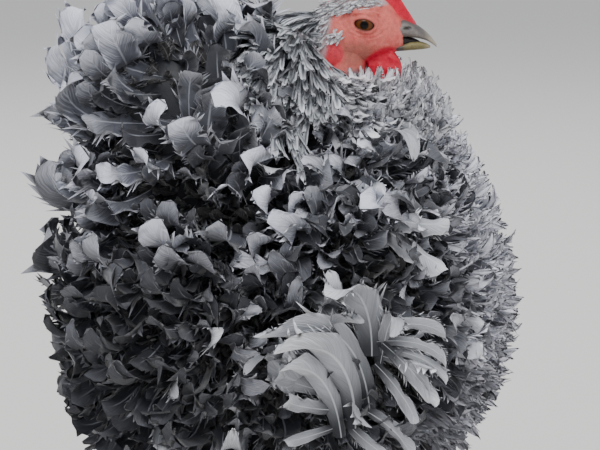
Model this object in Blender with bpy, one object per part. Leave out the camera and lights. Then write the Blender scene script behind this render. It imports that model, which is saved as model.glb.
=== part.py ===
"""A frizzled bantam hen, life size, standing at rest with its head turned a little to its right.

The hen faces +X, its left side is +Y and the floor is z = 0. The origin is on the floor, under the
middle of the plumage. The solids of the plumage reach to the tips of the curled feathers. Each solid
is cut back from its neighbours, so they meet with a thin gap and never overlap.
"""

import math

import bmesh
import bpy
from mathutils import Euler, Matrix, Vector

MM = 0.001
GAP = 0.35 * MM

# Plumage: the masses that its outline passes round, seen from a point inside them all. Each mass is
# a ball with its own reach along X, Y and Z, leaning about Y. The side masses are on both sides.
HEART = Vector((0, 0, 165)) * MM
MASSES = {
    "trunk": (Vector((3, 0, 145)) * MM, Vector((112, 95, 107)) * MM, 0),
    "rump": (Vector((-50, 0, 122)) * MM, Vector((63, 72, 76)) * MM, 0),
    "saddle": (Vector((-54, 0, 186)) * MM, Vector((60, 70, 56)) * MM, 0),
    "cape": (Vector((38, 0, 203)) * MM, Vector((51, 66, 60)) * MM, 0),
    "neck": (Vector((3, 0, 236)) * MM, Vector((36, 41, 63)) * MM, math.radians(-12)),
    "cushion": (Vector((-46, 0, 222)) * MM, Vector((54, 62, 80)) * MM, math.radians(-8)),
    "tail": (Vector((-70, 0, 238)) * MM, Vector((37, 46, 70)) * MM, math.radians(-10)),
}
SIDE_MASSES = {
    "wing": (Vector((10, 62, 132)) * MM, Vector((74, 40, 47)) * MM, math.radians(-48)),
    "thigh": (Vector((0, 37, 66)) * MM, Vector((37, 30, 38)) * MM, 0),
}
BLEND = 14
CURL_COUNT = 90
CURL_WIDTH = 0.16
CURL_LIFT = 7 * MM

# Where the plumage is parted, in side view: a ridge on the back and the ends of three cuts from it.
RIDGE = Vector((-26, 0, 216)) * MM
RUMP = Vector((-110, 0, 184)) * MM
THROAT = Vector((95, 0, 222)) * MM
TAIL_CUT_LOW = Vector((-88, 0, 184)) * MM
TAIL_CUT_HIGH = Vector((-66, 0, 300)) * MM
WING_CUT = 79 * MM
THIGH_CUT = 61 * MM

# Head: the point between the eyes, the turn to the right and the dip of the bill.
HEAD_PLACE = Vector((36, -7.5, 282)) * MM
HEAD_TURN = math.radians(-20)
HEAD_DIP = math.radians(-3)

EYE_RADIUS = 6.0 * MM
EYE_SPREAD = 8.3 * MM

# Legs and feet.
STANCE = 37 * MM
FOOT_X = -9 * MM
SHANK_RADIUS = 4.6 * MM
HOCK_HEIGHT = 44 * MM
PAD_REACH = Vector((9, 8, 6)) * MM
PAD_HEIGHT = 5 * MM
TOE_RADIUS = 3.3 * MM
# Per toe: direction from straight ahead with outward positive, and length without the claw.
TOES = {"middle": (4, 31), "inner": (-30, 25), "outer": (34, 25), "hind": (168, 15)}
CLAW_LENGTH = 8.5 * MM
PLUME_REACH = Vector((33, 18, 11)) * MM

SLATE = (0.105, 0.112, 0.130)
SILVER = (0.42, 0.43, 0.46)
FLUFF = (0.075, 0.068, 0.062)
FLESH_RED = (0.62, 0.05, 0.05)
FACE_RED = (0.60, 0.16, 0.13)
HORN = (0.26, 0.20, 0.12)
AMBER = (0.42, 0.12, 0.02)
SHANK_YELLOW = (0.50, 0.36, 0.13)


def clear_scene():
    for obj in list(bpy.data.objects):
        bpy.data.objects.remove(obj)
    for mesh in list(bpy.data.meshes):
        bpy.data.meshes.remove(mesh)


def new_collection(name):
    collection = bpy.data.collections.new(name)
    bpy.context.scene.collection.children.link(collection)
    return collection


def make_material(name, colour, roughness):
    material = bpy.data.materials.new(name)
    material.use_nodes = True
    shader = material.node_tree.nodes["Principled BSDF"]
    shader.inputs["Base Color"].default_value = (*colour, 1)
    shader.inputs["Roughness"].default_value = roughness
    shader.inputs["Metallic"].default_value = 0
    return material


def add_object(name, bm, material, kit):
    """Turns a bmesh into an object, smooth except at its hard edges, and makes its cutter."""
    bmesh.ops.recalc_face_normals(bm, faces=bm.faces)
    bmesh.ops.triangulate(bm, faces=bm.faces)
    mesh = bpy.data.meshes.new(name)
    bm.to_mesh(mesh)
    bm.free()
    mesh.shade_smooth()
    mesh.set_sharp_from_angle(angle=math.radians(50))
    obj = bpy.data.objects.new(name, mesh)
    obj.data.materials.append(material)
    kit["parts"].objects.link(obj)
    add_cutter(obj, kit["cutters"])
    return obj


def add_cutter(obj, cutters):
    """A hidden copy of a piece, thicker all round by the gap, to cut its neighbours with."""
    bm = bmesh.new()
    bm.from_mesh(obj.data)
    bm.normal_update()
    moved = [vert.co + vert.normal * GAP * vert.calc_shell_factor() for vert in bm.verts]
    for vert, co in zip(bm.verts, moved):
        vert.co = co
    mesh = bpy.data.meshes.new(cutter_name(obj))
    bm.to_mesh(mesh)
    bm.free()
    cutter = bpy.data.objects.new(cutter_name(obj), mesh)
    cutter.hide_render = True
    cutter.display_type = "WIRE"
    cutters.objects.link(cutter)


def cutter_name(obj):
    return obj.name + "_cutter"


def quad_ball(cuts):
    """A unit ball of even quads: a cube with its faces subdivided and pushed out onto the sphere."""
    bm = bmesh.new()
    bmesh.ops.create_cube(bm, size=2)
    bmesh.ops.subdivide_edges(bm, edges=bm.edges, cuts=cuts, use_grid_fill=True)
    for vert in bm.verts:
        evened = Vector([math.tan(c * math.pi / 4) for c in vert.co])
        vert.co = evened.normalized()
    return bm


def curl_points(count):
    """Directions spread evenly over half a ball. Both sides of the hen share them."""
    golden = math.pi * (3 - math.sqrt(5))
    points = []
    for i in range(count):
        y = (i + 0.5) / count
        ring = math.sqrt(1 - y * y)
        points.append(Vector((ring * math.cos(golden * i), y, ring * math.sin(golden * i))))
    return points


def curl_relief(direction, curls, width):
    """How far a curl of feathers lifts here, from 0 between curls to 1 on top of one."""
    here = Vector((direction.x, abs(direction.y), direction.z)).normalized()
    nearest = max(here.dot(c) for c in curls)
    angle = math.acos(min(1, nearest))
    return math.exp(-((angle / width) ** 2))


def ruffled_ball(cuts, place, curls, width, depth):
    """A ball whose unit directions go through place(), with curls of feathers raised on it."""
    bm = quad_ball(cuts)
    for vert in bm.verts:
        direction = vert.co.copy()
        point = place(direction)
        lift = depth * (curl_relief(direction, curls, width) - 0.75)
        vert.co = point + direction * lift
    return bm


def lofted(stations, sides, section):
    """A closed body from rings of the same number of points, one for each station."""
    bm = bmesh.new()
    rings = []
    for station in stations:
        turns = [math.tau * i / sides for i in range(sides)]
        rings.append([bm.verts.new(section(station, turn)) for turn in turns])
    for lower, upper in zip(rings, rings[1:]):
        for i in range(sides):
            j = (i + 1) % sides
            bm.faces.new((lower[i], lower[j], upper[j], upper[i]))
    for ring in (rings[0], rings[-1]):
        centre = bm.verts.new(sum((v.co for v in ring), Vector()) / sides)
        for i in range(sides):
            bm.faces.new((ring[i], ring[(i + 1) % sides], centre))
    return bm


def superellipse(turn, power):
    """A point of a rounded square: power 2 is a circle and more is squarer."""
    c, s = math.cos(turn), math.sin(turn)
    return (
        math.copysign(abs(c) ** (2 / power), c),
        math.copysign(abs(s) ** (2 / power), s),
    )


def smooth_through(values, t):
    """The value at t, from 0 to 1, on a smooth curve through evenly spaced values."""
    at = t * (len(values) - 1)
    i = min(int(at), len(values) - 2)
    f = at - i
    before, after = values[max(i - 1, 0)], values[min(i + 2, len(values) - 1)]
    a, b = values[i], values[i + 1]
    return 0.5 * (
        2 * a + (b - before) * f
        + (2 * before - 5 * a + 4 * b - after) * f * f
        + (3 * a - before - 3 * b + after) * f ** 3
    )


def tube_mesh(name, points, radii, sides_quarter=2):
    """A round tube through points, as a mesh with welded caps."""
    curve = bpy.data.curves.new(name, "CURVE")
    curve.dimensions = "3D"
    curve.bevel_depth = 1
    curve.bevel_resolution = sides_quarter
    curve.use_fill_caps = True
    spline = curve.splines.new("POLY")
    spline.points.add(len(points) - 1)
    for point, co, radius in zip(spline.points, points, radii):
        point.co = (*co, 1)
        point.radius = radius
    guide = bpy.data.objects.new(name + "_guide", curve)
    bpy.context.scene.collection.objects.link(guide)
    graph = bpy.context.evaluated_depsgraph_get()
    mesh = bpy.data.meshes.new_from_object(guide.evaluated_get(graph))
    bm = bmesh.new()
    bm.from_mesh(mesh)
    bmesh.ops.remove_doubles(bm, verts=bm.verts, dist=0.01 * MM)
    bpy.data.objects.remove(guide)
    bpy.data.meshes.remove(mesh)
    return bm


def fit_against(obj, neighbours):
    """Cuts obj back from its neighbours, as they were before any cut, and keeps the largest piece."""
    for neighbour in neighbours:
        cut = obj.modifiers.new("fit_" + neighbour.name, "BOOLEAN")
        cut.operation = "DIFFERENCE"
        cut.solver = "EXACT"
        cut.object = bpy.data.objects[cutter_name(neighbour)]
    graph = bpy.context.evaluated_depsgraph_get()
    mesh = bpy.data.meshes.new_from_object(obj.evaluated_get(graph))
    obj.modifiers.clear()
    old, obj.data = obj.data, mesh
    bpy.data.meshes.remove(old)
    mesh.name = obj.name
    keep_largest(obj)


def keep_largest(obj):
    """Removes the crumbs that a cut can leave beside a piece."""
    bm = bmesh.new()
    bm.from_mesh(obj.data)
    bmesh.ops.remove_doubles(bm, verts=bm.verts, dist=0.001 * MM)
    seen, islands = set(), []
    for start in bm.verts:
        if start in seen:
            continue
        island, front = {start}, [start]
        while front:
            for edge in front.pop().link_edges:
                for vert in edge.verts:
                    if vert not in island:
                        island.add(vert)
                        front.append(vert)
        seen |= island
        islands.append(island)
    islands.sort(key=len)
    for island in islands[:-1]:
        bmesh.ops.delete(bm, geom=list(island), context="VERTS")
    bm.to_mesh(obj.data)
    bm.free()


def flatten_below(bm, height=0.0):
    """Cuts a piece level at a height, so that it stands on a small flat."""
    bmesh.ops.bisect_plane(
        bm, geom=bm.verts[:] + bm.edges[:] + bm.faces[:],
        plane_co=(0, 0, height), plane_no=(0, 0, -1), clear_outer=True,
    )
    rim = [edge for edge in bm.edges if edge.is_boundary]
    bmesh.ops.holes_fill(bm, edges=rim, sides=0)


def mirrored(side, vector):
    """The same place on the left, side 1, or on the right, side -1."""
    return Vector((vector.x, side * vector.y, vector.z))


def far_side(direction, centre, reach, lean):
    """How far it is from the heart to the far side of a mass, or 0 where the mass isn't met."""
    upright = Matrix.Rotation(-lean, 3, "Y")
    start = Vector([a / b for a, b in zip(upright @ (HEART - centre), reach)])
    step = Vector([a / b for a, b in zip(upright @ direction, reach)])
    half = start.dot(step)
    inside = half * half - step.length_squared * (start.length_squared - 1)
    if inside <= 0:
        return 0
    return max(0, (math.sqrt(inside) - half) / step.length_squared)


def plumage_mesh(cuts):
    """The whole plumage in one closed body: the masses blended together, with curls raised on them."""
    masses = list(MASSES.values())
    for centre, reach, lean in SIDE_MASSES.values():
        masses += [(mirrored(side, centre), reach, lean) for side in (1, -1)]
    curls = curl_points(CURL_COUNT)
    bm = quad_ball(cuts)
    for vert in bm.verts:
        direction = vert.co.copy()
        sides = [far_side(direction, *mass) for mass in masses]
        reach = sum(distance ** BLEND for distance in sides) ** (1 / BLEND)
        reach += CURL_LIFT * (curl_relief(direction, curls, CURL_WIDTH) - 0.8)
        vert.co = HEART + direction * reach
    return bm


def half_space(point, along, keep):
    """A cut through point, along a direction and the Y axis, that keeps the side where keep lies."""
    normal = Vector((0, 1, 0)).cross(along).normalized()
    if normal.dot(keep - point) > 0:
        normal = -normal
    return point, normal


def cut_plumage(name, whole, planes, material, kit):
    """The part of the plumage inside all the planes, each set back by half the gap."""
    bm = whole.copy()
    for point, outward in planes:
        bmesh.ops.bisect_plane(
            bm, geom=bm.verts[:] + bm.edges[:] + bm.faces[:],
            plane_co=point - outward * GAP / 2, plane_no=outward, clear_outer=True,
        )
        bmesh.ops.holes_fill(bm, edges=[edge for edge in bm.edges if edge.is_boundary], sides=0)
    return add_object(name, bm, material, kit)


def build_plumage(kit):
    """Models the plumage whole and parts it with thin cuts into the masses that a person names."""
    whole = plumage_mesh(13)
    front, rear = THROAT, RUMP
    above, below = Vector((0, 0, 1)), Vector((0, 0, 0))
    across = (RIDGE, Vector((0, 0, 1)))
    tail_line = (TAIL_CUT_LOW, TAIL_CUT_HIGH - TAIL_CUT_LOW)

    def wing_plane(side, keep_out):
        return Vector((0, side * WING_CUT, 0)), Vector((0, -side if keep_out else side, 0))

    def level(height, keep_up):
        return Vector((0, 0, height)), Vector((0, 0, -1 if keep_up else 1))

    pieces = {}
    pieces["neck"] = cut_plumage("neck", whole, [
        half_space(*across, front), half_space(RIDGE, THROAT - RIDGE, above),
    ], kit["silver"], kit)
    rear_planes = [half_space(*across, rear), half_space(RIDGE, RUMP - RIDGE, above)]
    pieces["cushion"] = cut_plumage(
        "cushion", whole, rear_planes + [half_space(*tail_line, front)], kit["slate"], kit)
    pieces["tail"] = cut_plumage(
        "tail", whole, rear_planes + [half_space(*tail_line, rear * 3)], kit["slate"], kit)
    roof = [half_space(RIDGE, THROAT - RIDGE, below), half_space(RIDGE, RUMP - RIDGE, below)]
    pieces["trunk"] = cut_plumage("trunk", whole, roof + [
        wing_plane(1, False), wing_plane(-1, False), level(THIGH_CUT, True),
    ], kit["slate"], kit)
    for side in (1, -1):
        wing = "wing_" + side_name(side)
        pieces[wing] = cut_plumage(
            wing, whole, roof + [wing_plane(side, True), level(THIGH_CUT, True)], kit["silver"], kit)
        thigh = "thigh_" + side_name(side)
        middle = (Vector((0, 0, 0)), Vector((0, -side, 0)))
        pieces[thigh] = cut_plumage(
            thigh, whole, [middle, level(THIGH_CUT, False)], kit["fluff"], kit)
    whole.free()
    return pieces


def head_matrix():
    turn = Euler((0, HEAD_DIP, HEAD_TURN)).to_matrix().to_4x4()
    return Matrix.Translation(HEAD_PLACE) @ turn


def build_head(kit):
    """The head with its feathered crown: its profile from the nape to the root of the bill."""
    along = [-27, -21, -15, -9, -3, 3, 9, 14, 18, 21]
    crown = [3, 9.5, 14.5, 16.8, 17.4, 16.6, 13.6, 9.0, 3.8, -0.5]
    jaw = [-8, -15, -18.5, -20, -20, -19, -17.5, -15.8, -14.2, -13]
    half_width = [8, 13, 15, 14.6, 13.4, 12.2, 10.6, 8.6, 6.8, 5.2]
    count = 14

    def section(t, turn):
        top, low = smooth_through(crown, t), smooth_through(jaw, t)
        across, up = superellipse(turn, 2.15)
        # The cheeks are widest below the eyes and the crown is narrower.
        width = smooth_through(half_width, t) * (1 - 0.10 * up)
        x = smooth_through(along, t)
        return Vector((x, across * width, (top + low) / 2 + up * (top - low) / 2)) * MM

    bm = lofted([i / (count - 1) for i in range(count)], 20, section)
    bm.transform(head_matrix())
    return add_object("head", bm, kit["face"], kit)


def build_eye(kit, side):
    """The eyeball. The head closes round it and leaves its front to show."""
    bm = bmesh.new()
    bmesh.ops.create_uvsphere(bm, u_segments=12, v_segments=8, radius=EYE_RADIUS)
    bmesh.ops.rotate(bm, verts=bm.verts, cent=(0, 0, 0), matrix=Matrix.Rotation(math.pi / 2, 3, "X"))
    bm.transform(head_matrix() @ Matrix.Translation((0, side * EYE_SPREAD, 0)))
    return add_object("eye_" + side_name(side), bm, kit["amber"], kit)


def side_name(side):
    return "left" if side > 0 else "right"


def build_comb(kit, head):
    """A small single comb of five points, as a flat outline with rounded edges."""
    base = [(25.0, -2.5), (20, -6), (8, 2), (-8, 6), (-16, 11)]
    tips = [(16.0, 13.5), (10.5, 19.5), (3.2, 23.0), (-5.0, 22.8), (-12.5, 19.0)]
    notches = [(13.6, 13.0), (7.4, 17.6), (-0.8, 19.4), (-8.2, 18.4)]
    outline = [base[0]]
    for i, tip in enumerate(tips):
        outline.append(tip)
        if i < len(notches):
            outline.append(notches[i])
    outline += reversed(base[1:])
    curve = bpy.data.curves.new("comb_outline", "CURVE")
    curve.dimensions = "2D"
    curve.fill_mode = "BOTH"
    curve.extrude = 0.7 * MM
    curve.bevel_depth = 0.6 * MM
    curve.bevel_resolution = 1
    spline = curve.splines.new("POLY")
    spline.points.add(len(outline) - 1)
    for point, (x, z) in zip(spline.points, outline):
        point.co = (x * MM, z * MM, 0, 1)
    spline.use_cyclic_u = True
    guide = bpy.data.objects.new("comb_guide", curve)
    bpy.context.scene.collection.objects.link(guide)
    graph = bpy.context.evaluated_depsgraph_get()
    mesh = bpy.data.meshes.new_from_object(guide.evaluated_get(graph))
    bm = bmesh.new()
    bm.from_mesh(mesh)
    bmesh.ops.remove_doubles(bm, verts=bm.verts, dist=0.01 * MM)
    bpy.data.objects.remove(guide)
    bpy.data.meshes.remove(mesh)
    bm.transform(head_matrix() @ Matrix.Rotation(math.pi / 2, 4, "X"))
    comb = add_object("comb", bm, kit["red"], kit)
    fit_against(comb, [head])
    return comb


def build_bill(kit, head):
    """Both halves of the bill, each a loft of half-round sections along its own curve."""
    def half_bill(name, along, ridge, edge, half_width, rounding):
        def section(t, turn):
            across, up = superellipse(turn, 2.2)
            top, low = smooth_through(ridge, t), smooth_through(edge, t)
            width = smooth_through(half_width, t) * (1 - rounding * up)
            x = smooth_through(along, t)
            return Vector((x, across * width, (top + low) / 2 + up * (top - low) / 2)) * MM

        bm = lofted([i / 7 for i in range(8)], 12, section)
        bm.transform(head_matrix())
        return add_object(name, bm, kit["horn"], kit)

    upper = half_bill(
        "bill_upper", [15, 20, 25, 29, 32, 34.2], [0.6, -0.8, -2.6, -5.4, -8.8, -12.2],
        [-10.0, -10.5, -11.0, -11.6, -12.6, -13.8], [5.2, 5.1, 4.3, 3.2, 2.0, 0.6], 0.28,
    )
    lower = half_bill(
        "bill_lower", [13, 18, 22, 26, 29, 31.2], [-10.6, -11.0, -11.4, -11.9, -12.4, -13.0],
        [-15.2, -15.0, -14.8, -14.5, -14.2, -13.9], [4.9, 4.6, 4.0, 3.1, 2.1, 0.8], -0.25,
    )
    fit_against(upper, [head])
    fit_against(lower, [head, upper])
    return upper, lower


def build_wattle(kit, side, neighbours):
    bm = quad_ball(3)
    for vert in bm.verts:
        x, y, z = vert.co
        # The lobe is thin where it hangs from the jaw and fuller at its lower edge.
        vert.co = Vector((x * 8.2, y * (2.1 - 0.5 * z), z * 9.0)) * MM
    splay = Matrix.Rotation(side * math.radians(9), 4, "X")
    place = Matrix.Translation(Vector((10.5, side * 5.6, -20.5)) * MM)
    bm.transform(head_matrix() @ place @ splay)
    wattle = add_object("wattle_" + side_name(side), bm, kit["red"], kit)
    fit_against(wattle, neighbours)
    return wattle


def build_earlobe(kit, side, head):
    bm = quad_ball(2)
    for vert in bm.verts:
        vert.co = Vector((vert.co.x * 5.6, vert.co.y * 3.0, vert.co.z * 7.2)) * MM
    bm.transform(head_matrix() @ Matrix.Translation(Vector((-15.4, side * 13.0, -13.5)) * MM))
    lobe = add_object("earlobe_" + side_name(side), bm, kit["red"], kit)
    fit_against(lobe, [head])
    return lobe


def build_foot(kit, side, thigh):
    """One leg below the thigh: pad, four toes with claws, shank and the feathers on the outer side."""
    name = side_name(side)
    ankle = Vector((FOOT_X, side * STANCE, PAD_HEIGHT))
    bm = quad_ball(2)
    for vert in bm.verts:
        vert.co = ankle + Vector([c * r for c, r in zip(vert.co, PAD_REACH)])
    flatten_below(bm)
    pad = add_object("foot_" + name, bm, kit["yellow"], kit)

    toes = []
    for toe_name, (turn, length) in TOES.items():
        earlier = [pad] + [toe for toe, _ in toes]
        toes.append(build_toe(kit, side, toe_name, turn, length * MM, ankle, earlier))

    top = Vector((FOOT_X - 5 * MM, side * STANCE, HOCK_HEIGHT))
    points = [ankle.lerp(top, t) for t in (0, 0.25, 0.5, 0.75, 1)]
    radii = [SHANK_RADIUS * r for r in (1.18, 1.0, 0.95, 1.05, 1.3)]
    shank = add_object("shank_" + name, tube_mesh("shank", points, radii), kit["yellow"], kit)
    fit_against(shank, [pad, thigh])

    plume_place = Vector((FOOT_X + 2 * MM, side * (STANCE + 16 * MM), 13 * MM))
    curls = curl_points(18)

    def place(direction):
        # The plume is deepest by the shank and thins outward.
        thin = 1 - 0.35 * side * direction.y
        return plume_place + Vector((direction.x * PLUME_REACH.x, direction.y * PLUME_REACH.y,
                                     direction.z * PLUME_REACH.z * thin))

    bm = ruffled_ball(3, place, curls, 0.3, 4 * MM)
    flatten_below(bm, 2.5 * MM)
    plume = add_object("foot_plume_" + name, bm, kit["fluff"], kit)
    claws = [claw for _, claw in toes]
    fit_against(plume, [pad, shank, thigh] + [toe for toe, _ in toes] + claws)


def build_toe(kit, side, toe_name, turn, length, ankle, earlier):
    """A toe with rounded joints and its claw, both flat where they touch the floor."""
    angle = side * math.radians(turn)
    ahead = Vector((math.cos(angle), math.sin(angle), 0))
    steps = 6
    points, radii = [], []
    for i in range(steps + 1):
        t = i / steps
        joint = 0.5 + 0.5 * math.cos(math.tau * (t * 3 + 0.5))
        radius = TOE_RADIUS * (1 - 0.22 * t) * (0.90 + 0.12 * joint)
        radii.append(radius if i < steps else radius * 0.6)
        height = 0.86 * radius + (PAD_HEIGHT - TOE_RADIUS) * (1 - t) ** 2
        points.append(Vector((ankle.x, ankle.y, height)) + ahead * length * t)
    bm = tube_mesh("toe", points, radii)
    flatten_below(bm)
    label = side_name(side) + "_" + toe_name
    toe = add_object("toe_" + label, bm, kit["yellow"], kit)
    fit_against(toe, earlier)

    root = points[-1] - ahead * 1.2 * MM
    claw_points = [
        root + ahead * CLAW_LENGTH * t + Vector((0, 0, 0.9 * MM * math.sin(math.pi * t) - 1.4 * MM * t))
        for t in (0, 0.35, 0.7, 1)
    ]
    bm = tube_mesh("claw", claw_points, [r * MM for r in (1.7, 1.45, 1.0, 0.3)], 1)
    flatten_below(bm)
    claw = add_object("claw_" + label, bm, kit["horn"], kit)
    fit_against(claw, [toe])
    return toe, claw


def centre_over_origin(collection):
    """Moves the whole hen level, so that the middle of its box stands over the origin."""
    corners = [vert.co for obj in collection.objects for vert in obj.data.vertices]
    middle = Vector((
        (max(c.x for c in corners) + min(c.x for c in corners)) / 2,
        (max(c.y for c in corners) + min(c.y for c in corners)) / 2,
        0,
    ))
    for obj in collection.objects:
        obj.data.transform(Matrix.Translation(-middle))


def main():
    clear_scene()
    kit = {
        "parts": new_collection("frizzle_hen"),
        "cutters": new_collection("cutters"),
        "slate": make_material("slate_feather", SLATE, 0.8),
        "silver": make_material("silver_feather", SILVER, 0.8),
        "fluff": make_material("grey_fluff", FLUFF, 0.9),
        "red": make_material("comb_red", FLESH_RED, 0.5),
        "face": make_material("face_red", FACE_RED, 0.6),
        "horn": make_material("bill_horn", HORN, 0.4),
        "amber": make_material("eye_amber", AMBER, 0.1),
        "yellow": make_material("shank_yellow", SHANK_YELLOW, 0.6),
    }
    kit["cutters"].hide_render = True

    plumage = build_plumage(kit)

    head = build_head(kit)
    eyes = [build_eye(kit, side) for side in (1, -1)]
    fit_against(head, eyes)
    comb = build_comb(kit, head)
    upper, lower = build_bill(kit, head)
    fit_against(comb, [upper])
    wattles = [build_wattle(kit, side, [head, lower]) for side in (1, -1)]
    lobes = [build_earlobe(kit, side, head) for side in (1, -1)]
    around = [head, comb] + eyes + wattles + lobes
    fit_against(plumage["neck"], around)
    fit_against(plumage["cushion"], [comb])

    for side in (1, -1):
        build_foot(kit, side, plumage["thigh_" + side_name(side)])
    centre_over_origin(kit["parts"])


main()
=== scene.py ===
"""Looks of the frizzled hen: one skin, bill, eyes and claws, and a coat of curled feathers.

Lengths in the fields are millimetres, angles are degrees. The hen faces +X and +Y is its left.
"""

import logging
import math
from contextlib import contextmanager
from dataclasses import dataclass, field
from enum import Enum
from functools import partial
from typing import Callable, Iterator, Sequence

import bmesh
import bpy
import numpy as np
from mathutils import Euler, Matrix, Vector, noise
from mathutils.bvhtree import BVHTree


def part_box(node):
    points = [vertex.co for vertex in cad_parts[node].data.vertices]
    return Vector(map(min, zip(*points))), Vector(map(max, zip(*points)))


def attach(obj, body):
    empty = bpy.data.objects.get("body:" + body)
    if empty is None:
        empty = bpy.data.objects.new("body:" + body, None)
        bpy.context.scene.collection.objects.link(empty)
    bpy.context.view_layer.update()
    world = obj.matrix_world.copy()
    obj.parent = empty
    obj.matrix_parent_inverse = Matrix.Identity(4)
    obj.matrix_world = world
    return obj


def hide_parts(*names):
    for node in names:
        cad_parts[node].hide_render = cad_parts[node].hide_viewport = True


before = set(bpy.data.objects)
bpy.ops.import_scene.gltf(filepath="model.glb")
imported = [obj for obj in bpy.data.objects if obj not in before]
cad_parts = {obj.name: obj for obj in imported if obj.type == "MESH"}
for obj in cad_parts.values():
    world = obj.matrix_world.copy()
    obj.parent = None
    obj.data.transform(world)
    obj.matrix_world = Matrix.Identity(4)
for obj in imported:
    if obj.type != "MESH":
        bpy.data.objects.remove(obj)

Array = np.ndarray
BMesh = bmesh.types.BMesh
Material = bpy.types.Material
Node = bpy.types.Node
NodeTree = bpy.types.NodeTree
Piece = bpy.types.Object
Socket = bpy.types.NodeSocket
Row = Sequence[float]
Pair = tuple[float, float]
Triple = tuple[float, float, float]

MM = 0.001
LOG = logging.getLogger("frizzle_hen")
# The middle of the body, which the coat is measured from, in metres.
HEART = Vector((0.0, 0.0, 0.165))
PLUMAGE = ("trunk", "cushion", "tail", "neck", "wing_left", "wing_right", "thigh_left", "thigh_right")
# How much of the baking map each feather takes.
BAKE_PATCH = 0.003


class Side(Enum):
    """A side of the hen, with the sign of its Y."""

    LEFT = 1
    RIGHT = -1

    @property
    def word(self) -> str:
        """The side's name in a piece's name."""
        return self.name.lower()

    def at(self, place: Row) -> Matrix:
        """The shift to a place in millimetres, which is given for the left side."""
        return Matrix.Translation(Vector((place[0], self.value * place[1], place[2])) * MM)


class Shade(Enum):
    """How a feather's colour is laid out over its vane: how strong its pale rim is, which is partly lacing
    and partly painted highlight, and how striped.
    """

    LACED = (1.0, 0.0)
    STREAKED = (0.35, 1.0)
    DOWNY = (0.25, 0.0)


class Slot(Enum):
    """The record's material slots."""

    HORN = "horn"
    EYE = "amber_eye"
    SKIN = "face_skin"
    SLATE = "slate_feather"
    SILVER = "silver_feather"
    FLUFF = "grey_fluff"


def smooth_through(values: Row, t: float) -> float:
    """A smooth curve through evenly spaced values.

    Args:
        values: the values that the curve passes through.
        t: how far along the curve, from 0 to 1.

    Returns:
        The curve's value at t.
    """
    at = t * (len(values) - 1)
    i = max(0, min(int(at), len(values) - 2))
    f = at - i
    before, after = values[max(i - 1, 0)], values[min(i + 2, len(values) - 1)]
    a, b = values[i], values[i + 1]
    square = (2 * before - 5 * a + 4 * b - after) * f * f
    cube = (3 * a - before - 3 * b + after) * f ** 3
    return 0.5 * (2 * a + (b - before) * f + square + cube)


def ramp(low: float, high: float, value: float) -> float:
    """A smooth step from 0 at low to 1 at high."""
    t = max(0.0, min(1.0, (value - low) / (high - low)))
    return t * t * (3 - 2 * t)


def ramps(low: float, high: float, values: Array) -> Array:
    """A smooth step from 0 at low to 1 at high, for a whole array."""
    t = np.clip((values - low) / (high - low), 0, 1)
    return t * t * (3 - 2 * t)


def unit(vectors: Array) -> Array:
    """The vectors of an array, each made one long."""
    return vectors / np.maximum(np.linalg.norm(vectors, axis=-1, keepdims=True), 1e-9)


def laid(lie: Array, out: Array, free: bool) -> Array:
    """Directions laid flat on a surface or, where free, only kept from leading into it.

    Args:
        lie: the directions wanted.
        out: the way out of the surface at each.
        free: whether a direction that leads outward stays as it is.

    Returns:
        The directions, shorter the more they were bent.
    """
    lie = unit(lie)
    along = (lie * out).sum(1, keepdims=True)
    return lie - (np.minimum(along, 0) if free else along) * out


def head_matrix() -> Matrix:
    """The head's own frame in metres: x to the bill, y to the left, z up, from between the eyes.

    Returns:
        The matrix from the head's frame to the row's.
    """
    middles = []
    for side in Side:
        low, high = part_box("eye_" + side.word)
        middles.append((Vector(low) + Vector(high)) / 2)
    turn = Euler((0, math.radians(-3), math.radians(-20))).to_matrix().to_4x4()
    return Matrix.Translation((middles[0] + middles[1]) / 2) @ turn


def placed(name: str, data: bpy.types.ID) -> Piece:
    """Adds an object with its data to the scene, at the origin."""
    obj = bpy.data.objects.new(name, data)
    bpy.context.scene.collection.objects.link(obj)
    return obj


def new_object(name: str, bm: BMesh) -> Piece:
    """Makes a smooth-shaded object of a bmesh, in metres, and frees the bmesh.

    Args:
        name: the object's name.
        bm: the mesh.

    Returns:
        The object, at the origin.
    """
    mesh = bpy.data.meshes.new(name)
    bm.to_mesh(mesh)
    bm.free()
    mesh.shade_smooth()
    return placed(name, mesh)


def dress(piece: Piece, slot: Slot, *nodes: str) -> Piece:
    """Lets a piece ride on the hen, in place of the nodes named.

    Args:
        piece: the piece.
        slot: the slot; not used.
        nodes: the nodes that it replaces.

    Returns:
        The piece.
    """
    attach(piece, "root")
    if nodes:
        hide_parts(*nodes)
    return piece


def apply_modifiers(obj: Piece) -> None:
    """Replaces an object's mesh with what its modifiers make of it.

    Args:
        obj: the object.
    """
    graph = bpy.context.evaluated_depsgraph_get()
    mesh = bpy.data.meshes.new_from_object(obj.evaluated_get(graph))
    obj.modifiers.clear()
    old, obj.data = obj.data, mesh
    bpy.data.meshes.remove(old)
    mesh.name = obj.name


@contextmanager
def reshaped(piece: Piece) -> Iterator[BMesh]:
    """Opens an object's mesh as a bmesh, and writes it back afterwards.

    Args:
        piece: the object.

    Returns:
        The bmesh.
    """
    bm = bmesh.new()
    bm.from_mesh(piece.data)
    yield bm
    bm.to_mesh(piece.data)
    bm.free()


def remesh(piece: Piece, voxel: float) -> None:
    """Joins an object's parts in one surface, with faces of a size in millimetres."""
    join = piece.modifiers.new("whole", "REMESH")
    join.mode = "VOXEL"
    join.voxel_size = voxel * MM


def smooth(bm: BMesh, times: int, verts: Sequence | None = None) -> None:
    """Smooths a mesh, or the vertices given, a number of times."""
    for _ in range(times):
        bmesh.ops.smooth_vert(
            bm, verts=verts or bm.verts, factor=0.5, use_axis_x=True, use_axis_y=True, use_axis_z=True)


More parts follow.
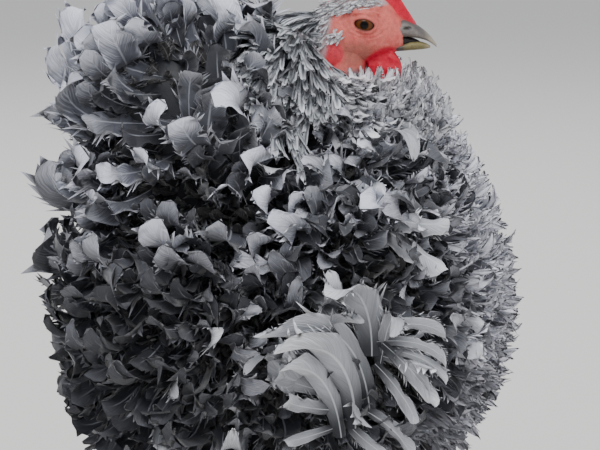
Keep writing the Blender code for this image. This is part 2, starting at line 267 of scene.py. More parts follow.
def swell(bm: BMesh, relief: Callable[[Vector], float]) -> None:
    """Moves each vertex outward by its relief. Its place and the relief are in millimetres.

    Args:
        bm: the mesh.
        relief: gives how far outward a place moves.
    """
    bm.normal_update()
    moved = [v.co + v.normal * relief(v.co / MM) * MM for v in bm.verts]
    for vert, co in zip(bm.verts, moved):
        vert.co = co


def tube(bm: BMesh, section: Callable[[float, float], Vector], along: int, around: int) -> list:
    """Adds a closed tube: a grid rolled up by a function of place.

    Args:
        bm: the mesh to add to.
        section: gives the point at t, from 0 to 1 along, and at an angle round the tube.
        along: segments along the tube.
        around: segments round the tube.

    Returns:
        The tube's vertices.
    """
    before = set(bm.verts)
    bmesh.ops.create_grid(bm, x_segments=around, y_segments=along, size=1)
    verts = [v for v in bm.verts if v not in before]
    for vert in verts:
        vert.co = section((vert.co.y + 1) / 2, math.pi * (vert.co.x + 1))
    bmesh.ops.remove_doubles(bm, verts=verts, dist=1e-6)
    verts = [v for v in bm.verts if v not in before]
    rims = {e for v in verts for e in v.link_edges if e.is_boundary}
    bmesh.ops.holes_fill(bm, edges=list(rims), sides=0)
    faces = list({f for v in verts for f in v.link_faces})
    bmesh.ops.recalc_face_normals(bm, faces=faces)
    return verts


def ball(bm: BMesh, place: Matrix, reach: Row, segments: int = 32) -> list:
    """Adds an ellipsoid.

    Args:
        bm: the mesh to add to.
        place: where its middle is, in metres.
        reach: its reach along its own axes, in millimetres.
        segments: how fine it is.

    Returns:
        The ellipsoid's vertices.
    """
    scale = Matrix.Diagonal((*[r * MM for r in reach], 1))
    out = bmesh.ops.create_uvsphere(
        bm, u_segments=segments, v_segments=segments // 2, radius=1, matrix=place @ scale)
    return out["verts"]


class Envelope:
    """The outside of the CAD plumage, met by rays towards the hen's middle and kept as a globe."""

    rows: int = 150
    columns: int = 300

    def __init__(self) -> None:
        """Gathers the plumage nodes into one tree and maps how far it reaches each way."""
        verts: list = []
        faces: list = []
        owner: list[int] = []
        for number, name in enumerate(PLUMAGE):
            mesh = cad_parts[name].data
            start = len(verts)
            verts += [v.co.copy() for v in mesh.vertices]
            for polygon in mesh.polygons:
                faces.append([start + i for i in polygon.vertices])
                owner.append(number)
        tree = BVHTree.FromPolygons(verts, faces)
        self.far = np.full((self.rows + 1, self.columns + 1), 0.05)
        self.node = np.zeros((self.rows + 1, self.columns + 1), int)
        for row in range(self.rows + 1):
            up = math.pi * (row / self.rows - 0.5)
            for column in range(self.columns + 1):
                turn = 2 * math.pi * column / self.columns - math.pi
                way = Vector((math.cos(up) * math.cos(turn), math.cos(up) * math.sin(turn), math.sin(up)))
                place, _, index, _ = tree.ray_cast(HEART + way * 0.4, -way)
                if place is not None:
                    self.far[row, column] = (place - HEART).length
                    self.node[row, column] = owner[index]

    def cells(self, ways: Array) -> tuple[Array, Array]:
        """Where directions fall on the globe, in rows and columns.

        Args:
            ways: directions from the heart.

        Returns:
            The rows and the columns.
        """
        ways = unit(ways)
        row = (np.arcsin(np.clip(ways[..., 2], -1, 1)) / math.pi + 0.5) * self.rows
        column = (np.arctan2(ways[..., 1], ways[..., 0]) / (2 * math.pi) + 0.5) * self.columns
        return row, column

    def reach(self, ways: Array) -> Array:
        """How far the plumage reaches from the heart in each direction, in metres.

        Args:
            ways: directions from the heart.

        Returns:
            The distances.
        """
        row, column = self.cells(ways)
        r = np.minimum(row.astype(int), self.rows - 1)
        c = np.minimum(column.astype(int), self.columns - 1)
        a, b = row - r, column - c
        low = self.far[r, c] * (1 - b) + self.far[r, c + 1] * b
        high = self.far[r + 1, c] * (1 - b) + self.far[r + 1, c + 1] * b
        return low * (1 - a) + high * a

    def normal(self, ways: Array) -> Array:
        """The way out of the plumage's surface in each direction from the heart.

        Args:
            ways: directions from the heart.

        Returns:
            The normals, each one long.
        """
        ways = unit(ways)
        east = unit(np.cross((0.0, 0.0, 1.0), ways))
        north = np.cross(ways, east)
        ends = [way * self.reach(way)[:, None]
                for step in (east, north) for way in (unit(ways + 0.05 * step), unit(ways - 0.05 * step))]
        return unit(np.cross(ends[0] - ends[1], ends[2] - ends[3]))

    def skin(self, ways: Array, head: Vector) -> Array:
        """How far the skin reaches from the heart in each direction, under a coat of its depth.

        Args:
            ways: directions, each one long.
            head: the middle of the head.

        Returns:
            The distances in metres.
        """
        reach = self.reach(ways)
        outside = np.array(HEART) + ways * reach[:, None]
        slope = np.clip((ways * self.normal(ways)).sum(1), 0.35, 1.0)
        slope = 1 - (1 - slope) * ramps(0.030, 0.046, np.linalg.norm(outside - np.array(head), axis=1))
        return reach - coat_depth(outside, head) * slope

    def names(self, ways: Array) -> Array:
        """The plumage node that lies in each direction."""
        row, column = self.cells(ways)
        return np.array(PLUMAGE)[self.node[np.round(row).astype(int), np.round(column).astype(int)]]


def coat_depth(points: Array, head: Vector) -> Array:
    """The depth of the coat in metres: thin near the head and full on the body.

    Args:
        points: points on the outside of the plumage, one to a row.
        head: the middle of the head.

    Returns:
        How far the skin lies inside the plumage at each.
    """
    near = ramps(0.034, 0.100, np.linalg.norm(points - np.array(head), axis=-1))
    low = 1 - ramps(0.040, 0.075, points[..., 2])
    return (0.009 + near * 0.029) * (1 - 0.45 * low)


class Nodes:
    """A short way to write the nodes of a material or of a shader node group."""

    def __init__(self, tree: NodeTree) -> None:
        """Notes the tree that the nodes go in."""
        self.tree = tree

    def put(self, socket: Socket, value: object) -> None:
        """Links an output to a socket, or sets the socket to a plain value.

        Args:
            socket: the input to fill.
            value: an output or a plain value.
        """
        if isinstance(value, Socket):
            self.tree.links.new(value, socket)
        else:
            socket.default_value = value

    def add(self, kind: str, **inputs: object) -> Node:
        """Adds a node and fills its inputs, named with an underscore for each space.

        Args:
            kind: the node's type, after ShaderNode.
            inputs: what goes into it.

        Returns:
            The node.
        """
        node = self.tree.nodes.new("ShaderNode" + kind)
        for name, value in inputs.items():
            self.put(node.inputs[name.replace("_", " ")], value)
        return node

    def attribute(self, name: str, output: str) -> Socket:
        """Reads an attribute of the mesh."""
        node = self.add("Attribute")
        node.attribute_name = name
        return node.outputs[output]

    def maths(self, operation: str, *values: object) -> Socket:
        """Works out a sum of one or more values.

        Args:
            operation: the Math node's operation.
            values: what it works on.

        Returns:
            The result.
        """
        node = self.add("Math")
        node.operation = operation
        for socket, value in zip(node.inputs, values):
            self.put(socket, value)
        return node.outputs[0]

    def step(self, low: float, high: float, value: object) -> Socket:
        """A smooth step of a value from 0 at low to 1 at high."""
        node = self.add("MapRange", Value=value, From_Min=low, From_Max=high)
        node.interpolation_type = "SMOOTHSTEP"
        return node.outputs["Result"]

    def mix(self, factor: object, first: object, second: object, way: str = "MIX") -> Socket:
        """Mixes two colours.

        Args:
            factor: how much of the second colour.
            first: the first colour.
            second: the second.
            way: how they blend.

        Returns:
            The mixed colour.
        """
        node = self.add("Mix")
        node.data_type = "RGBA"
        node.blend_type = way
        for index, value in ((0, factor), (6, first), (7, second)):
            self.put(node.inputs[index], value)
        return node.outputs[2]

    def darken(self, colour: object, share: Socket) -> Socket:
        """Multiplies a colour by a share."""
        return self.mix(1.0, colour, self.add("CombineXYZ", X=share, Y=share, Z=share).outputs[0], "MULTIPLY")


class DetailGroup(Nodes):
    """A shader node group that gives a finish its colour, roughness and relief."""

    def __init__(self, name: str, **inputs: str) -> None:
        """Starts the group, with named inputs of a kind such as Float, Color or Vector.

        Args:
            name: the group's name.
            inputs: the kind of each input.
        """
        super().__init__(bpy.data.node_groups.new(name, "ShaderNodeTree"))
        outputs = {"Colour": "Color", "Roughness": "Float", "Relief": "Float"}
        for sockets, direction in ((inputs, "INPUT"), (outputs, "OUTPUT")):
            for word, kind in sockets.items():
                self.tree.interface.new_socket(word, in_out=direction, socket_type="NodeSocket" + kind)
        self.given = self.tree.nodes.new("NodeGroupInput").outputs

    def finish(self, **results: Socket) -> NodeTree:
        """Links the group's outputs and gives back the group.

        Args:
            results: what each output gives.

        Returns:
            The group.
        """
        sink = self.tree.nodes.new("NodeGroupOutput")
        for name, value in results.items():
            self.put(sink.inputs[name], value)
        return self.tree


class Finish(Nodes):
    """The nodes of one material."""

    def __init__(self, name: str, **surface: object) -> None:
        """Makes the material, with values for its shader's inputs, named as in add.

        Args:
            name: the material's name.
            surface: values for the shader's inputs.
        """
        self.material = bpy.data.materials.new(name)
        self.material.use_nodes = True
        super().__init__(self.material.node_tree)
        self.shader = self.tree.nodes["Principled BSDF"]
        for word, value in surface.items():
            self.put(self.shader.inputs[word.replace("_", " ")], value)

    def detail(self, group: NodeTree, strength: float, depth: float, **inputs: object) -> Material:
        """Gives the material the colour, roughness and relief of a group.

        Args:
            group: the group.
            strength: how strong its relief is.
            depth: how deep its relief is, in metres.
            inputs: what goes into the group.

        Returns:
            The material.
        """
        node = self.add("Group")
        node.node_tree = group
        for name, value in inputs.items():
            self.put(node.inputs[name], value)
        bump = self.add("Bump", Strength=strength, Distance=depth, Height=node.outputs["Relief"])
        self.put(self.shader.inputs["Base Color"], node.outputs["Colour"])
        self.put(self.shader.inputs["Roughness"], node.outputs["Roughness"])
        self.put(self.shader.inputs["Normal"], bump.outputs["Normal"])
        return self.material


def vane_group() -> NodeTree:
    """The colours, roughness and relief of a feather's vane, built once.

    Place is the vane's own map, 0 to 1 across and 0 to 1 from root to tip.

    Returns:
        The group.
    """
    if "feather_vane" in bpy.data.node_groups:
        return bpy.data.node_groups["feather_vane"]
    g = DetailGroup(
        "feather_vane", Place="Vector", Root="Color", Vane="Color", Rim="Color", Tone="Float",
        Streaks="Float", Dull="Float", Lacing="Float", Stripe="Float")
    given, step, mix = g.given, g.step, g.mix
    times, plus, minus, times_plus, size = (
        partial(g.maths, word) for word in ("MULTIPLY", "ADD", "SUBTRACT", "MULTIPLY_ADD", "ABSOLUTE"))
    parts = g.add("SeparateXYZ")
    g.put(parts.inputs[0], given["Place"])
    across = size(times_plus(parts.outputs[0], 2.0, -1.0))
    along = parts.outputs[1]
    # Barbs leave the shaft at a slant, so their lines run outward and forward.
    slant = minus(along, times(across, 0.34))
    shift = times(given["Tone"], 37.0)
    wander = g.add("CombineXYZ", X=times(slant, 64.0), Y=times(across, 1.6), Z=shift)
    barbs = g.add("TexNoise", Vector=wander.outputs[0], Scale=1.0, Detail=4).outputs["Fac"]
    fine = size(g.maths("SINE", times(slant, 150.0)))
    lines = plus(times(barbs, 0.8), times(fine, 0.2))
    # Painted highlight: the pale rim along the edges and round the tip is partly lacing and partly light
    # caught by the curled vane, and it is weaker on darker feathers.
    edge = step(0.50, 0.95, plus(across, times(minus(barbs, 0.5), 0.6)))
    reach = times_plus(given["Tone"], 0.30, plus(along, -0.22))
    tip = step(0.55, 1.0, plus(reach, times(minus(barbs, 0.5), 0.4)))
    rim = times(g.maths("MAXIMUM", edge, tip), given["Lacing"])
    rim = times(rim, step(0.12, 0.5, along))
    rim = times(rim, step(-0.15, 0.45, given["Tone"]))
    base = mix(step(0.05, 0.55, along), given["Root"], given["Vane"])
    base = mix(rim, base, given["Rim"])
    stripe = minus(1.0, step(0.08, 0.45, across))
    stripe = times(stripe, minus(1.0, step(0.72, 0.98, along)))
    base = mix(times(stripe, given["Stripe"]), base, given["Root"])
    shade = times_plus(minus(lines, 0.5), times(given["Streaks"], 2.2), 1.0)
    shade = times(shade, times_plus(given["Tone"], 1.05, 0.40))
    shaft = minus(1.0, step(0.015, 0.07, across))
    shaft = times(shaft, minus(1.0, step(0.7, 0.95, along)))
    return g.finish(
        Colour=mix(times(shaft, 0.45), g.darken(base, shade), given["Rim"]),
        Roughness=times_plus(barbs, 0.2, minus(given["Dull"], 0.1)),
        Relief=plus(lines, times(shaft, 1.5)))


def pore_group() -> NodeTree:
    """Pores, pebbles and uneven colour for skin, horn and scales, built once.

    Returns:
        The group.
    """
    if "pores" in bpy.data.node_groups:
        return bpy.data.node_groups["pores"]
    g = DetailGroup("pores", Place="Vector", Base="Color", Closeness="Float", Dull="Float")
    given, times_plus = g.given, partial(g.maths, "MULTIPLY_ADD")
    cells = g.add("TexVoronoi", Vector=given["Place"], Scale=given["Closeness"])
    coarse = g.maths("MULTIPLY", given["Closeness"], 0.3)
    fine = g.add("TexNoise", Vector=given["Place"], Scale=coarse, Detail=5).outputs["Fac"]
    bump = g.maths("SUBTRACT", 1.0, cells.outputs["Distance"])
    worn = g.maths("MULTIPLY", times_plus(fine, 0.7, 0.65), times_plus(bump, 0.25, 0.82))
    return g.finish(
        Colour=g.darken(given["Base"], worn),
        Roughness=times_plus(fine, 0.25, g.maths("SUBTRACT", given["Dull"], 0.12)),
        Relief=times_plus(bump, 0.6, fine))


@dataclass(frozen=True)
class FeatherFinish:
    """Colours of a kind of feather, each as linear red, green and blue.

    Attributes:
        name: the material's name.
        shade: how the colours are laid out.
        root: the colour by the skin.
        vane: the colour of the vane's middle.
        rim: the colour of its edge and tip, partly paler lacing and partly painted highlight.
        streaks: how strong the barb lines are.
        roughness: how dull it is.
        slot: the record's slot for it.
    """

    name: str
    shade: Shade
    root: Triple
    vane: Triple
    rim: Triple
    streaks: float = 0.35
    roughness: float = 0.62
    slot: Slot = Slot.SILVER

    def material(self) -> Material:
        """Builds the material from the vane's own map and the feather's tone.

        Returns:
            The material.
        """
        made = Finish(self.name, Sheen_Weight=0.25, Sheen_Roughness=0.45, Specular_IOR_Level=0.3)
        vane_map = made.add("UVMap")
        vane_map.uv_map = "Vane"
        lacing_and_highlight, stripe = self.shade.value
        return made.detail(
            vane_group(), 0.5, 0.0004, Place=vane_map.outputs["UV"], Tone=made.attribute("tone", "Fac"),
            Root=(*self.root, 1), Vane=(*self.vane, 1), Rim=(*self.rim, 1), Streaks=self.streaks,
            Dull=self.roughness, Lacing=lacing_and_highlight, Stripe=stripe)


@dataclass(frozen=True)
class BareFinish:
    """A bare finish with pores, so close and so dull, whose colour is the piece's tint."""

    name: str
    closeness: float
    dull: float

    def material(self) -> Material:
        """Builds the material.

        Returns:
            The material.
        """
        made = Finish(self.name, Specular_IOR_Level=0.4)
        return made.detail(
            pore_group(), 0.45, 0.0003, Place=made.add("TexCoord").outputs["Object"],
            Base=made.attribute("tint", "Color"), Closeness=self.closeness, Dull=self.dull)


def layered(base: Triple, *layers: tuple[Triple, float]) -> Vector:
    """A colour with others laid over it in turn, each with its share from 0 to 1.

    Args:
        base: the colour underneath.
        layers: each colour over it, with its share.

    Returns:
        The colour.
    """
    colour = Vector(base)
    for over, share in layers:
        colour = colour.lerp(Vector(over), share)
    return colour


def paint(piece: Piece, colour: Callable[[Vector], Vector]) -> None:
    """Gives each vertex of a piece its tint, from its place in metres."""
    tint = piece.data.attributes.new("tint", "FLOAT_COLOR", "POINT")
    tint.data.foreach_set("color", [c for vert in piece.data.vertices for c in (*colour(vert.co), 1.0)])


@dataclass
class HeadShape:
    """The bare head in its own frame: profile and widths from the nape to the root of the bill."""

    along: Row = (-27, -21, -15, -9, -3, 3, 8.5, 13, 16.2, 18.4)
    crown: Row = (1, 7.0, 11.8, 14.0, 14.6, 14.2, 12.2, 8.6, 3.8, -0.6)
    jaw: Row = (-8, -15, -18.5, -20, -20, -19, -17.3, -15.6, -14.2, -13.4)
    half_width: Row = (8, 12.4, 14.2, 14.0, 13.0, 12.0, 10.4, 8.4, 6.6, 5.0)
    eye_spread: float = 8.3
    eye_radius: float = 6.0
    lid_reach: Pair = (4.1, 2.0)
    lid_tilt: float = 13.0
    lid_tube: Pair = (1.6, 0.60)
    lid_lift: float = 0.30
    orbit_reach: Triple = (8.6, 4.9, 7.8)
    comb_base: Sequence[Pair] = ((25.4, -2.6), (20, -6), (8, 2), (-8, 5), (-17, 9))
    comb_tips: Sequence[Pair] = (
        (16.2, 13.6), (10.6, 19.6), (3.2, 23.2), (-5.0, 22.8), (-12.5, 18.6))
    comb_notches: Sequence[Pair] = ((13.4, 12.2), (7.2, 15.6), (-0.8, 17.6), (-8.4, 16.8))
    wattle_place: Triple = (8.8, 5.8, -20.4)
    wattle_reach: Triple = (8.4, 2.0, 9.2)
    lobe_place: Triple = (-16.6, 12.4, -13.2)
    lobe_reach: Triple = (6.2, 3.2, 7.6)
    voxel: float = 0.5

    def skull(self, t: float, turn: float) -> Vector:
        """The head's section at t along it.

        Args:
            t: how far along, from 0 to 1.
            turn: the angle round it.

        Returns:
            The point, in metres.
        """
        top, low = smooth_through(self.crown, t), smooth_through(self.jaw, t)
        c, s = math.cos(turn), math.sin(turn)
        across = math.copysign(abs(c) ** 0.93, c)
        up = math.copysign(abs(s) ** 0.93, s)
        width = smooth_through(self.half_width, t) * (1 - 0.12 * up)
        height = (top + low) / 2 + up * (top - low) / 2
        return Vector((smooth_through(self.along, t), across * width, height)) * MM

    def comb(self, bm: BMesh) -> None:
        """Adds the comb as an extruded outline, thinner at its points.

        Args:
            bm: the mesh.
        """
        outline = [self.comb_base[0]]
        for i, tip in enumerate(self.comb_tips):
            outline.append(tip)
            if i < len(self.comb_notches):
                outline.append(self.comb_notches[i])
        outline += list(reversed(self.comb_base[1:]))
        verts = [bm.verts.new((x * MM, -0.001, z * MM)) for x, z in outline]
        face = bm.faces.new(verts)
        bmesh.ops.triangulate(bm, faces=[face])
        flat = {f for v in verts for f in v.link_faces}
        out = bmesh.ops.extrude_face_region(bm, geom=list(flat))
        far = [g for g in out["geom"] if isinstance(g, bmesh.types.BMVert)]
        for vert in far:
            vert.co.y = 0.001
        for vert in verts + far:
            vert.co.y *= 1.9 - 0.9 * ramp(2, 20, vert.co.z / MM)
        faces = list({f for v in verts + far for f in v.link_faces})
        bmesh.ops.recalc_face_normals(bm, faces=faces)

    def lid(self, bm: BMesh, side: Side) -> None:
        """Adds the ring of the eyelids, which hugs the eye, and a low brow over it.

        Args:
            bm: the mesh.
            side: which eye's.
        """
        tilt = Matrix.Rotation(math.radians(self.lid_tilt), 3, "Y")
        ball_reach = self.eye_radius + self.lid_lift

        def section(t: float, turn: float) -> Vector:
            """The point of the lids at t round the eye and at an angle round their tube."""
            x, z = math.cos(2 * math.pi * t), math.sin(2 * math.pi * t)
            almond = Vector((self.lid_reach[0] * x, 0, self.lid_reach[1] * math.copysign(abs(z) ** 1.25, z)))
            middle = almond + Vector((x, 0, z)) * self.lid_tube[0]
            height = math.sqrt(max(ball_reach ** 2 - middle.length_squared, 1.0))
            outward = Vector((middle.x, height, middle.z)).normalized()
            along = Vector((x, 0, z)) - outward * outward.dot(Vector((x, 0, z)))
            point = Vector((middle.x, self.eye_spread + height, middle.z))
            point += along.normalized() * self.lid_tube[0] * math.cos(turn)
            point += outward * self.lid_tube[1] * math.sin(turn)
            point = tilt @ point
            return Vector((point.x, side.value * point.y, point.z)) * MM

        tube(bm, section, 48, 12)
        brow = side.at((0.8, 11.2, 5.6)) @ Matrix.Rotation(math.radians(8), 4, "Y")
        ball(bm, brow, (7.6, 1.9, 1.7), 24)

    def wattle(self, bm: BMesh, side: Side) -> None:
        """Adds one wattle: thin where it hangs, full at its lower edge, with soft folds.

        Args:
            bm: the mesh.
            side: which one.
        """
        place = side.at(self.wattle_place)
        splay = Matrix.Rotation(side.value * math.radians(9), 4, "X")
        verts = ball(bm, Matrix.Identity(4), (1 / MM, 1 / MM, 1 / MM), 40)
        for vert in verts:
            x, y, z = vert.co
            wide = self.wattle_reach[0] * (0.98 - 0.20 * z)
            thick = self.wattle_reach[1] - 0.6 * z
            fold = 0.55 * math.sin(6.5 * x + 1.2 * z) * (1 - x * x) + 0.3 * math.sin(9 * z + 2 * x)
            shaped = Vector((x * wide - 1.2 * z, y * thick + fold, z * self.wattle_reach[2]))
            vert.co = place @ splay @ (shaped * MM)

    def solid(self) -> Piece:
        """The head as one remeshed body in its own frame, with eye sockets cut in it.

        Returns:
            The head.
        """
        eye_place = (0, self.eye_spread, 0)
        bm = bmesh.new()
        tube(bm, self.skull, 40, 56)
        self.comb(bm)
        for side in Side:
            ball(bm, side.at(eye_place), self.orbit_reach, 32)
        head = new_object("head_solid", bm)
        bm = bmesh.new()
        for side in Side:
            ball(bm, side.at(eye_place), (self.eye_radius + 0.15,) * 3, 40)
        sockets = new_object("head_sockets", bm)
        remesh(head, self.voxel)
        cut = head.modifiers.new("sockets", "BOOLEAN")
        cut.object = sockets
        cut.solver = "EXACT"
        apply_modifiers(head)
        bpy.data.objects.remove(sockets)
        with reshaped(head) as bm:
            for side in Side:
                self.lid(bm, side)
                self.wattle(bm, side)
                ball(bm, side.at(self.lobe_place), self.lobe_reach, 32)
        remesh(head, self.voxel)
        apply_modifiers(head)
        return head

    def on_comb(self, p: Vector) -> float:
        """How much a point, in millimetres, is on the comb, from 0 to 1."""
        foot = 9.5 if p.x < 8 else 9.5 - 0.85 * (p.x - 8)
        return (1 - ramp(2.0, 3.2, abs(p.y))) * ramp(foot - 1, foot + 1.5, p.z) * ramp(-19, -16, p.x)

    def on_wattle(self, p: Vector) -> float:
        """How much a point is on a wattle."""
        x, y, z = Vector((p.x, abs(p.y), p.z)) - Vector(self.wattle_place)
        away = math.sqrt(((x + 1.2 * z / 9.2) / 9.0) ** 2 + (y / 5.4) ** 2 + (z / 9.4) ** 2)
        return 1 - ramp(0.95, 1.25, away)

    def on_lobe(self, p: Vector) -> float:
        """How much a point is on an earlobe."""
        x, y, z = Vector((p.x, abs(p.y), p.z)) - Vector(self.lobe_place)
        away = math.sqrt((x / 6.2) ** 2 + (y / 5.0) ** 2 + (z / 7.6) ** 2)
        return 1 - ramp(0.85, 1.15, away)

    def round_eye(self, p: Vector) -> float:
        """How far a point is from the middle of the nearer eye, seen from its side.

        Args:
            p: a point of the head's frame.

        Returns:
            The distance.
        """
        tilt = math.radians(self.lid_tilt)
        x = p.x * math.cos(tilt) - p.z * math.sin(tilt)
        z = p.x * math.sin(tilt) + p.z * math.cos(tilt)
        return math.hypot(x, z * self.lid_reach[0] / self.lid_reach[1] * 0.8) if abs(p.y) > 6 else 30.0

    def feathered(self, p: Vector) -> float:
        """How much the head is feathered at a point: the crown, nape and throat are, the face isn't."""
        crown = ramp(7.2, 9.0, p.z - 0.10 * min(p.x, 0)) * (1 - ramp(10, 14, p.x))
        nape = 1 - ramp(-17.5, -14.5, p.x - 0.22 * p.z)
        return max(crown, nape)

    def relief(self, p: Vector) -> float:
        """The fine folds, wrinkles and pebbles at a point, in millimetres outward.

        Args:
            p: a point of the head's frame.

        Returns:
            How far outward the skin lies there.
        """
        eye = self.round_eye(p)
        fold = 0.22 * math.sin(eye * 2.3 + 1.5 * noise.noise(p * 0.35)) * math.exp(-((eye - 8.5) / 3.2) ** 2)
        wrinkle = 0.16 * noise.fractal(p * 0.55, 0.8, 2.2, 3)
        pebble = 0.30 * (0.5 - noise.voronoi(p * 0.72)[0][0]) + 0.10 * noise.noise(p * 1.3)
        fleshy = max(self.on_comb(p), self.on_wattle(p))
        return (fold + wrinkle) * (1 - fleshy) + pebble * fleshy


@dataclass(frozen=True)
class SkinFinish:
    """The skin's colours, each as linear red, green and blue, laid out by where a point is."""

    face: Triple = (0.68, 0.150, 0.120)
    cheek: Triple = (0.40, 0.120, 0.085)
    comb: Triple = (0.60, 0.004, 0.030)
    lobe: Triple = (0.62, 0.040, 0.060)
    lid: Triple = (0.070, 0.018, 0.010)
    under_coat: Triple = (0.020, 0.021, 0.026)
    neck_down: Triple = (0.20, 0.20, 0.22)
    pale_crown: Triple = (0.42, 0.40, 0.41)
    shank: Triple = (0.52, 0.37, 0.13)

    def colour(self, p: Vector, shape: HeadShape) -> Vector:
        """The skin's colour at a point of the head's frame, in millimetres.

        Args:
            p: the point.
            shape: the head.

        Returns:
            The colour.
        """
        away = math.sqrt(((p.x + 4) / 11) ** 2 + ((p.z + 14) / 7.5) ** 2)
        blotch = noise.noise(p * 0.28)
        body = ramp(26, 34, math.sqrt((p.x + 4) ** 2 + p.y ** 2 + (p.z + 4) ** 2))
        body = max(body, (1 - ramp(-23.5, -20.5, p.z)) * (1 - shape.on_wattle(p)))
        return layered(
            self.face,
            (self.cheek, 0.85 * (1 - ramp(0.5, 1.15, away))),
            (self.comb, max(0.0, 0.35 * blotch + 0.12 * ramp(4, 18, p.x))),
            (self.lobe, shape.on_lobe(p)),
            (self.comb, max(shape.on_comb(p), shape.on_wattle(p))),
            (self.pale_crown, 0.8 * shape.feathered(p) * (1 - shape.on_comb(p))),
            (self.lid, 0.92 * (1 - ramp(4.3, 5.6, shape.round_eye(p)))),
            (self.neck_down, body))

    def material(self) -> Material:
        """The tinted material of bare skin, with a little light let through.

        Returns:
            The material.
        """
        material = BareFinish("skin", 1500.0, 0.52).material()
        shader = material.node_tree.nodes["Principled BSDF"]
        shader.inputs["Subsurface Weight"].default_value = 0.18
        shader.inputs["Subsurface Radius"].default_value = (0.002, 0.0007, 0.0004)
        shader.inputs["Subsurface Scale"].default_value = 1.0
        return material


@dataclass
class Skin:
    """The one skin under the coat: body, neck, head, legs and toes.

    Attributes:
        cuts: how finely the body is divided.
        leg_voxel: the size of the legs' finest detail.
        leg_fade: the heights in metres between which the shanks' colour ends.
        leg_top: the height in metres where the legs' colours end.
        head_reach: how far the head's colours reach from its middle, in metres.
    """

    cuts: int = 34
    leg_voxel: float = 0.75
    leg_fade: Pair = (0.042, 0.058)
    leg_top: float = 0.062
    head_reach: float = 0.045
    shape: HeadShape = field(default_factory=HeadShape)
    finish: SkinFinish = field(default_factory=SkinFinish)

    def body(self, envelope: Envelope, head: Matrix) -> Piece:
        """The body, as far inside the plumage as the coat is deep.

        Args:
            envelope: the plumage's outside.
            head: the head's frame.

        Returns:
            The body.
        """
        bm = bmesh.new()
        bmesh.ops.create_cube(bm, size=2)
        bmesh.ops.subdivide_edges(bm, edges=bm.edges, cuts=self.cuts, use_grid_fill=True)
        ways = unit(np.tan(np.array([v.co for v in bm.verts]) * math.pi / 4))
        for vert, way, far in zip(bm.verts, ways, envelope.skin(ways, head.translation)):
            vert.co = HEART + Vector(way) * far
        smooth(bm, 4)
        bmesh.ops.recalc_face_normals(bm, faces=bm.faces)
        return new_object("skin", bm)

    def neck(self, head: Matrix) -> Piece:
        """The column of the neck, from the shoulders into the back of the head.

        Args:
            head: the head's frame.

        Returns:
            The neck.
        """
        low = Vector((4, 0, 206)) * MM
        high = head @ (Vector((-7, 0, -6)) * MM)

        def section(t: float, turn: float) -> Vector:
            """The point of the neck at t up it and at an angle round it."""
            radius = smooth_through((30, 24, 19, 16, 14, 11), t) * MM
            axis = (high - low).normalized()
            beside = axis.cross(Vector((0, 1, 0))).normalized()
            across = axis.cross(beside)
            return low.lerp(high, t) + (beside * math.cos(turn) + across * math.sin(turn)) * radius

        bm = bmesh.new()
        tube(bm, section, 24, 40)
        return new_object("neck_solid", bm)

    def leg(self, side: Side) -> Piece:
        """A shank with its foot and toes, grown together from the CAD's and scaled in front.

        Args:
            side: which leg.

        Returns:
            The leg.
        """
        bm = bmesh.new()
        for name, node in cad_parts.items():
            if side.word in name and name.startswith(("shank", "toe", "foot_" + side.word)):
                part = placed("part", node.data.copy())
                with reshaped(part) as grown:
                    bmesh.ops.remove_doubles(grown, verts=grown.verts, dist=1e-6)
                    swell(grown, lambda place: 0.35)
                bm.from_mesh(part.data)
                bpy.data.meshes.remove(part.data)
        low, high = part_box("shank_" + side.word)
        middle = ((low[0] + high[0]) / 2, (low[1] + high[1]) / 2)
        hock = Vector((middle[0] - 0.001, middle[1], high[2] + 0.014))
        ball(bm, Matrix.Translation(hock), (7.5, 6.8, 20), 24)
        leg = new_object("leg_solid", bm)
        remesh(leg, self.leg_voxel)
        apply_modifiers(leg)
        foot = Vector((*middle, 0))
        with reshaped(leg) as bm:
            smooth(bm, 3)
            for vert in bm.verts:
                on_shank = vert.co.z > 0.010
                run = vert.co.z if on_shank else (Vector((vert.co.x, vert.co.y, 0)) - foot).length
                front = max(0.0, vert.normal.x if on_shank else vert.normal.z)
                scute = abs(math.sin(run / MM * 1.35)) ** 0.5 - 0.7
                vert.co += vert.normal * 0.28 * MM * scute * front
                vert.co.z = max(vert.co.z, 0.0)
        return leg

    def head(self, matrix: Matrix) -> Piece:
        """The head, smoothed and given its folds, in the row's frame.

        Args:
            matrix: the head's frame.

        Returns:
            The head.
        """
        head, shape = self.shape.solid(), self.shape
        with reshaped(head) as bm:
            places = {v: v.co / MM for v in bm.verts}
            firm = [v for v in bm.verts if max(shape.on_comb(places[v]), shape.on_wattle(places[v])) < 0.5]
            soft = [v for v in firm if shape.round_eye(places[v]) > 6.2]
            smooth(bm, 2)
            smooth(bm, 8, soft)
            swell(bm, shape.relief)
            bm.transform(matrix)
        return head

    def build(self, envelope: Envelope, head: Matrix) -> Piece:
        """Joins the parts into the one skin and dresses it.

        Args:
            envelope: the plumage's outside.
            head: the head's frame.

        Returns:
            The skin, in place of the nodes of flesh.
        """
        skin = self.body(envelope, head)
        parts = [self.neck(head), self.head(head)] + [self.leg(side) for side in Side]
        for part in parts:
            union = skin.modifiers.new(part.name, "BOOLEAN")
            union.operation = "UNION"
            union.solver = "EXACT"
            union.object = part
        apply_modifiers(skin)
        for part in parts:
            bpy.data.objects.remove(part)
        back = head.inverted()

        def colour(co: Vector) -> Vector:
            """The skin's colour at a point in metres."""
            if co.z < self.leg_top:
                return layered(self.finish.shank, (self.finish.under_coat, ramp(*self.leg_fade, co.z)))
            if (co - head.translation).length < self.head_reach:
                return self.finish.colour((back @ co) / MM, self.shape)
            return Vector(self.finish.under_coat)

        paint(skin, colour)
        skin.data.shade_smooth()
        skin.data.materials.clear()
        skin.data.materials.append(self.finish.material())
        flesh = [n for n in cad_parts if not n.startswith(("bill", "eye", "claw"))]
        return dress(skin, Slot.SKIN, *flesh)


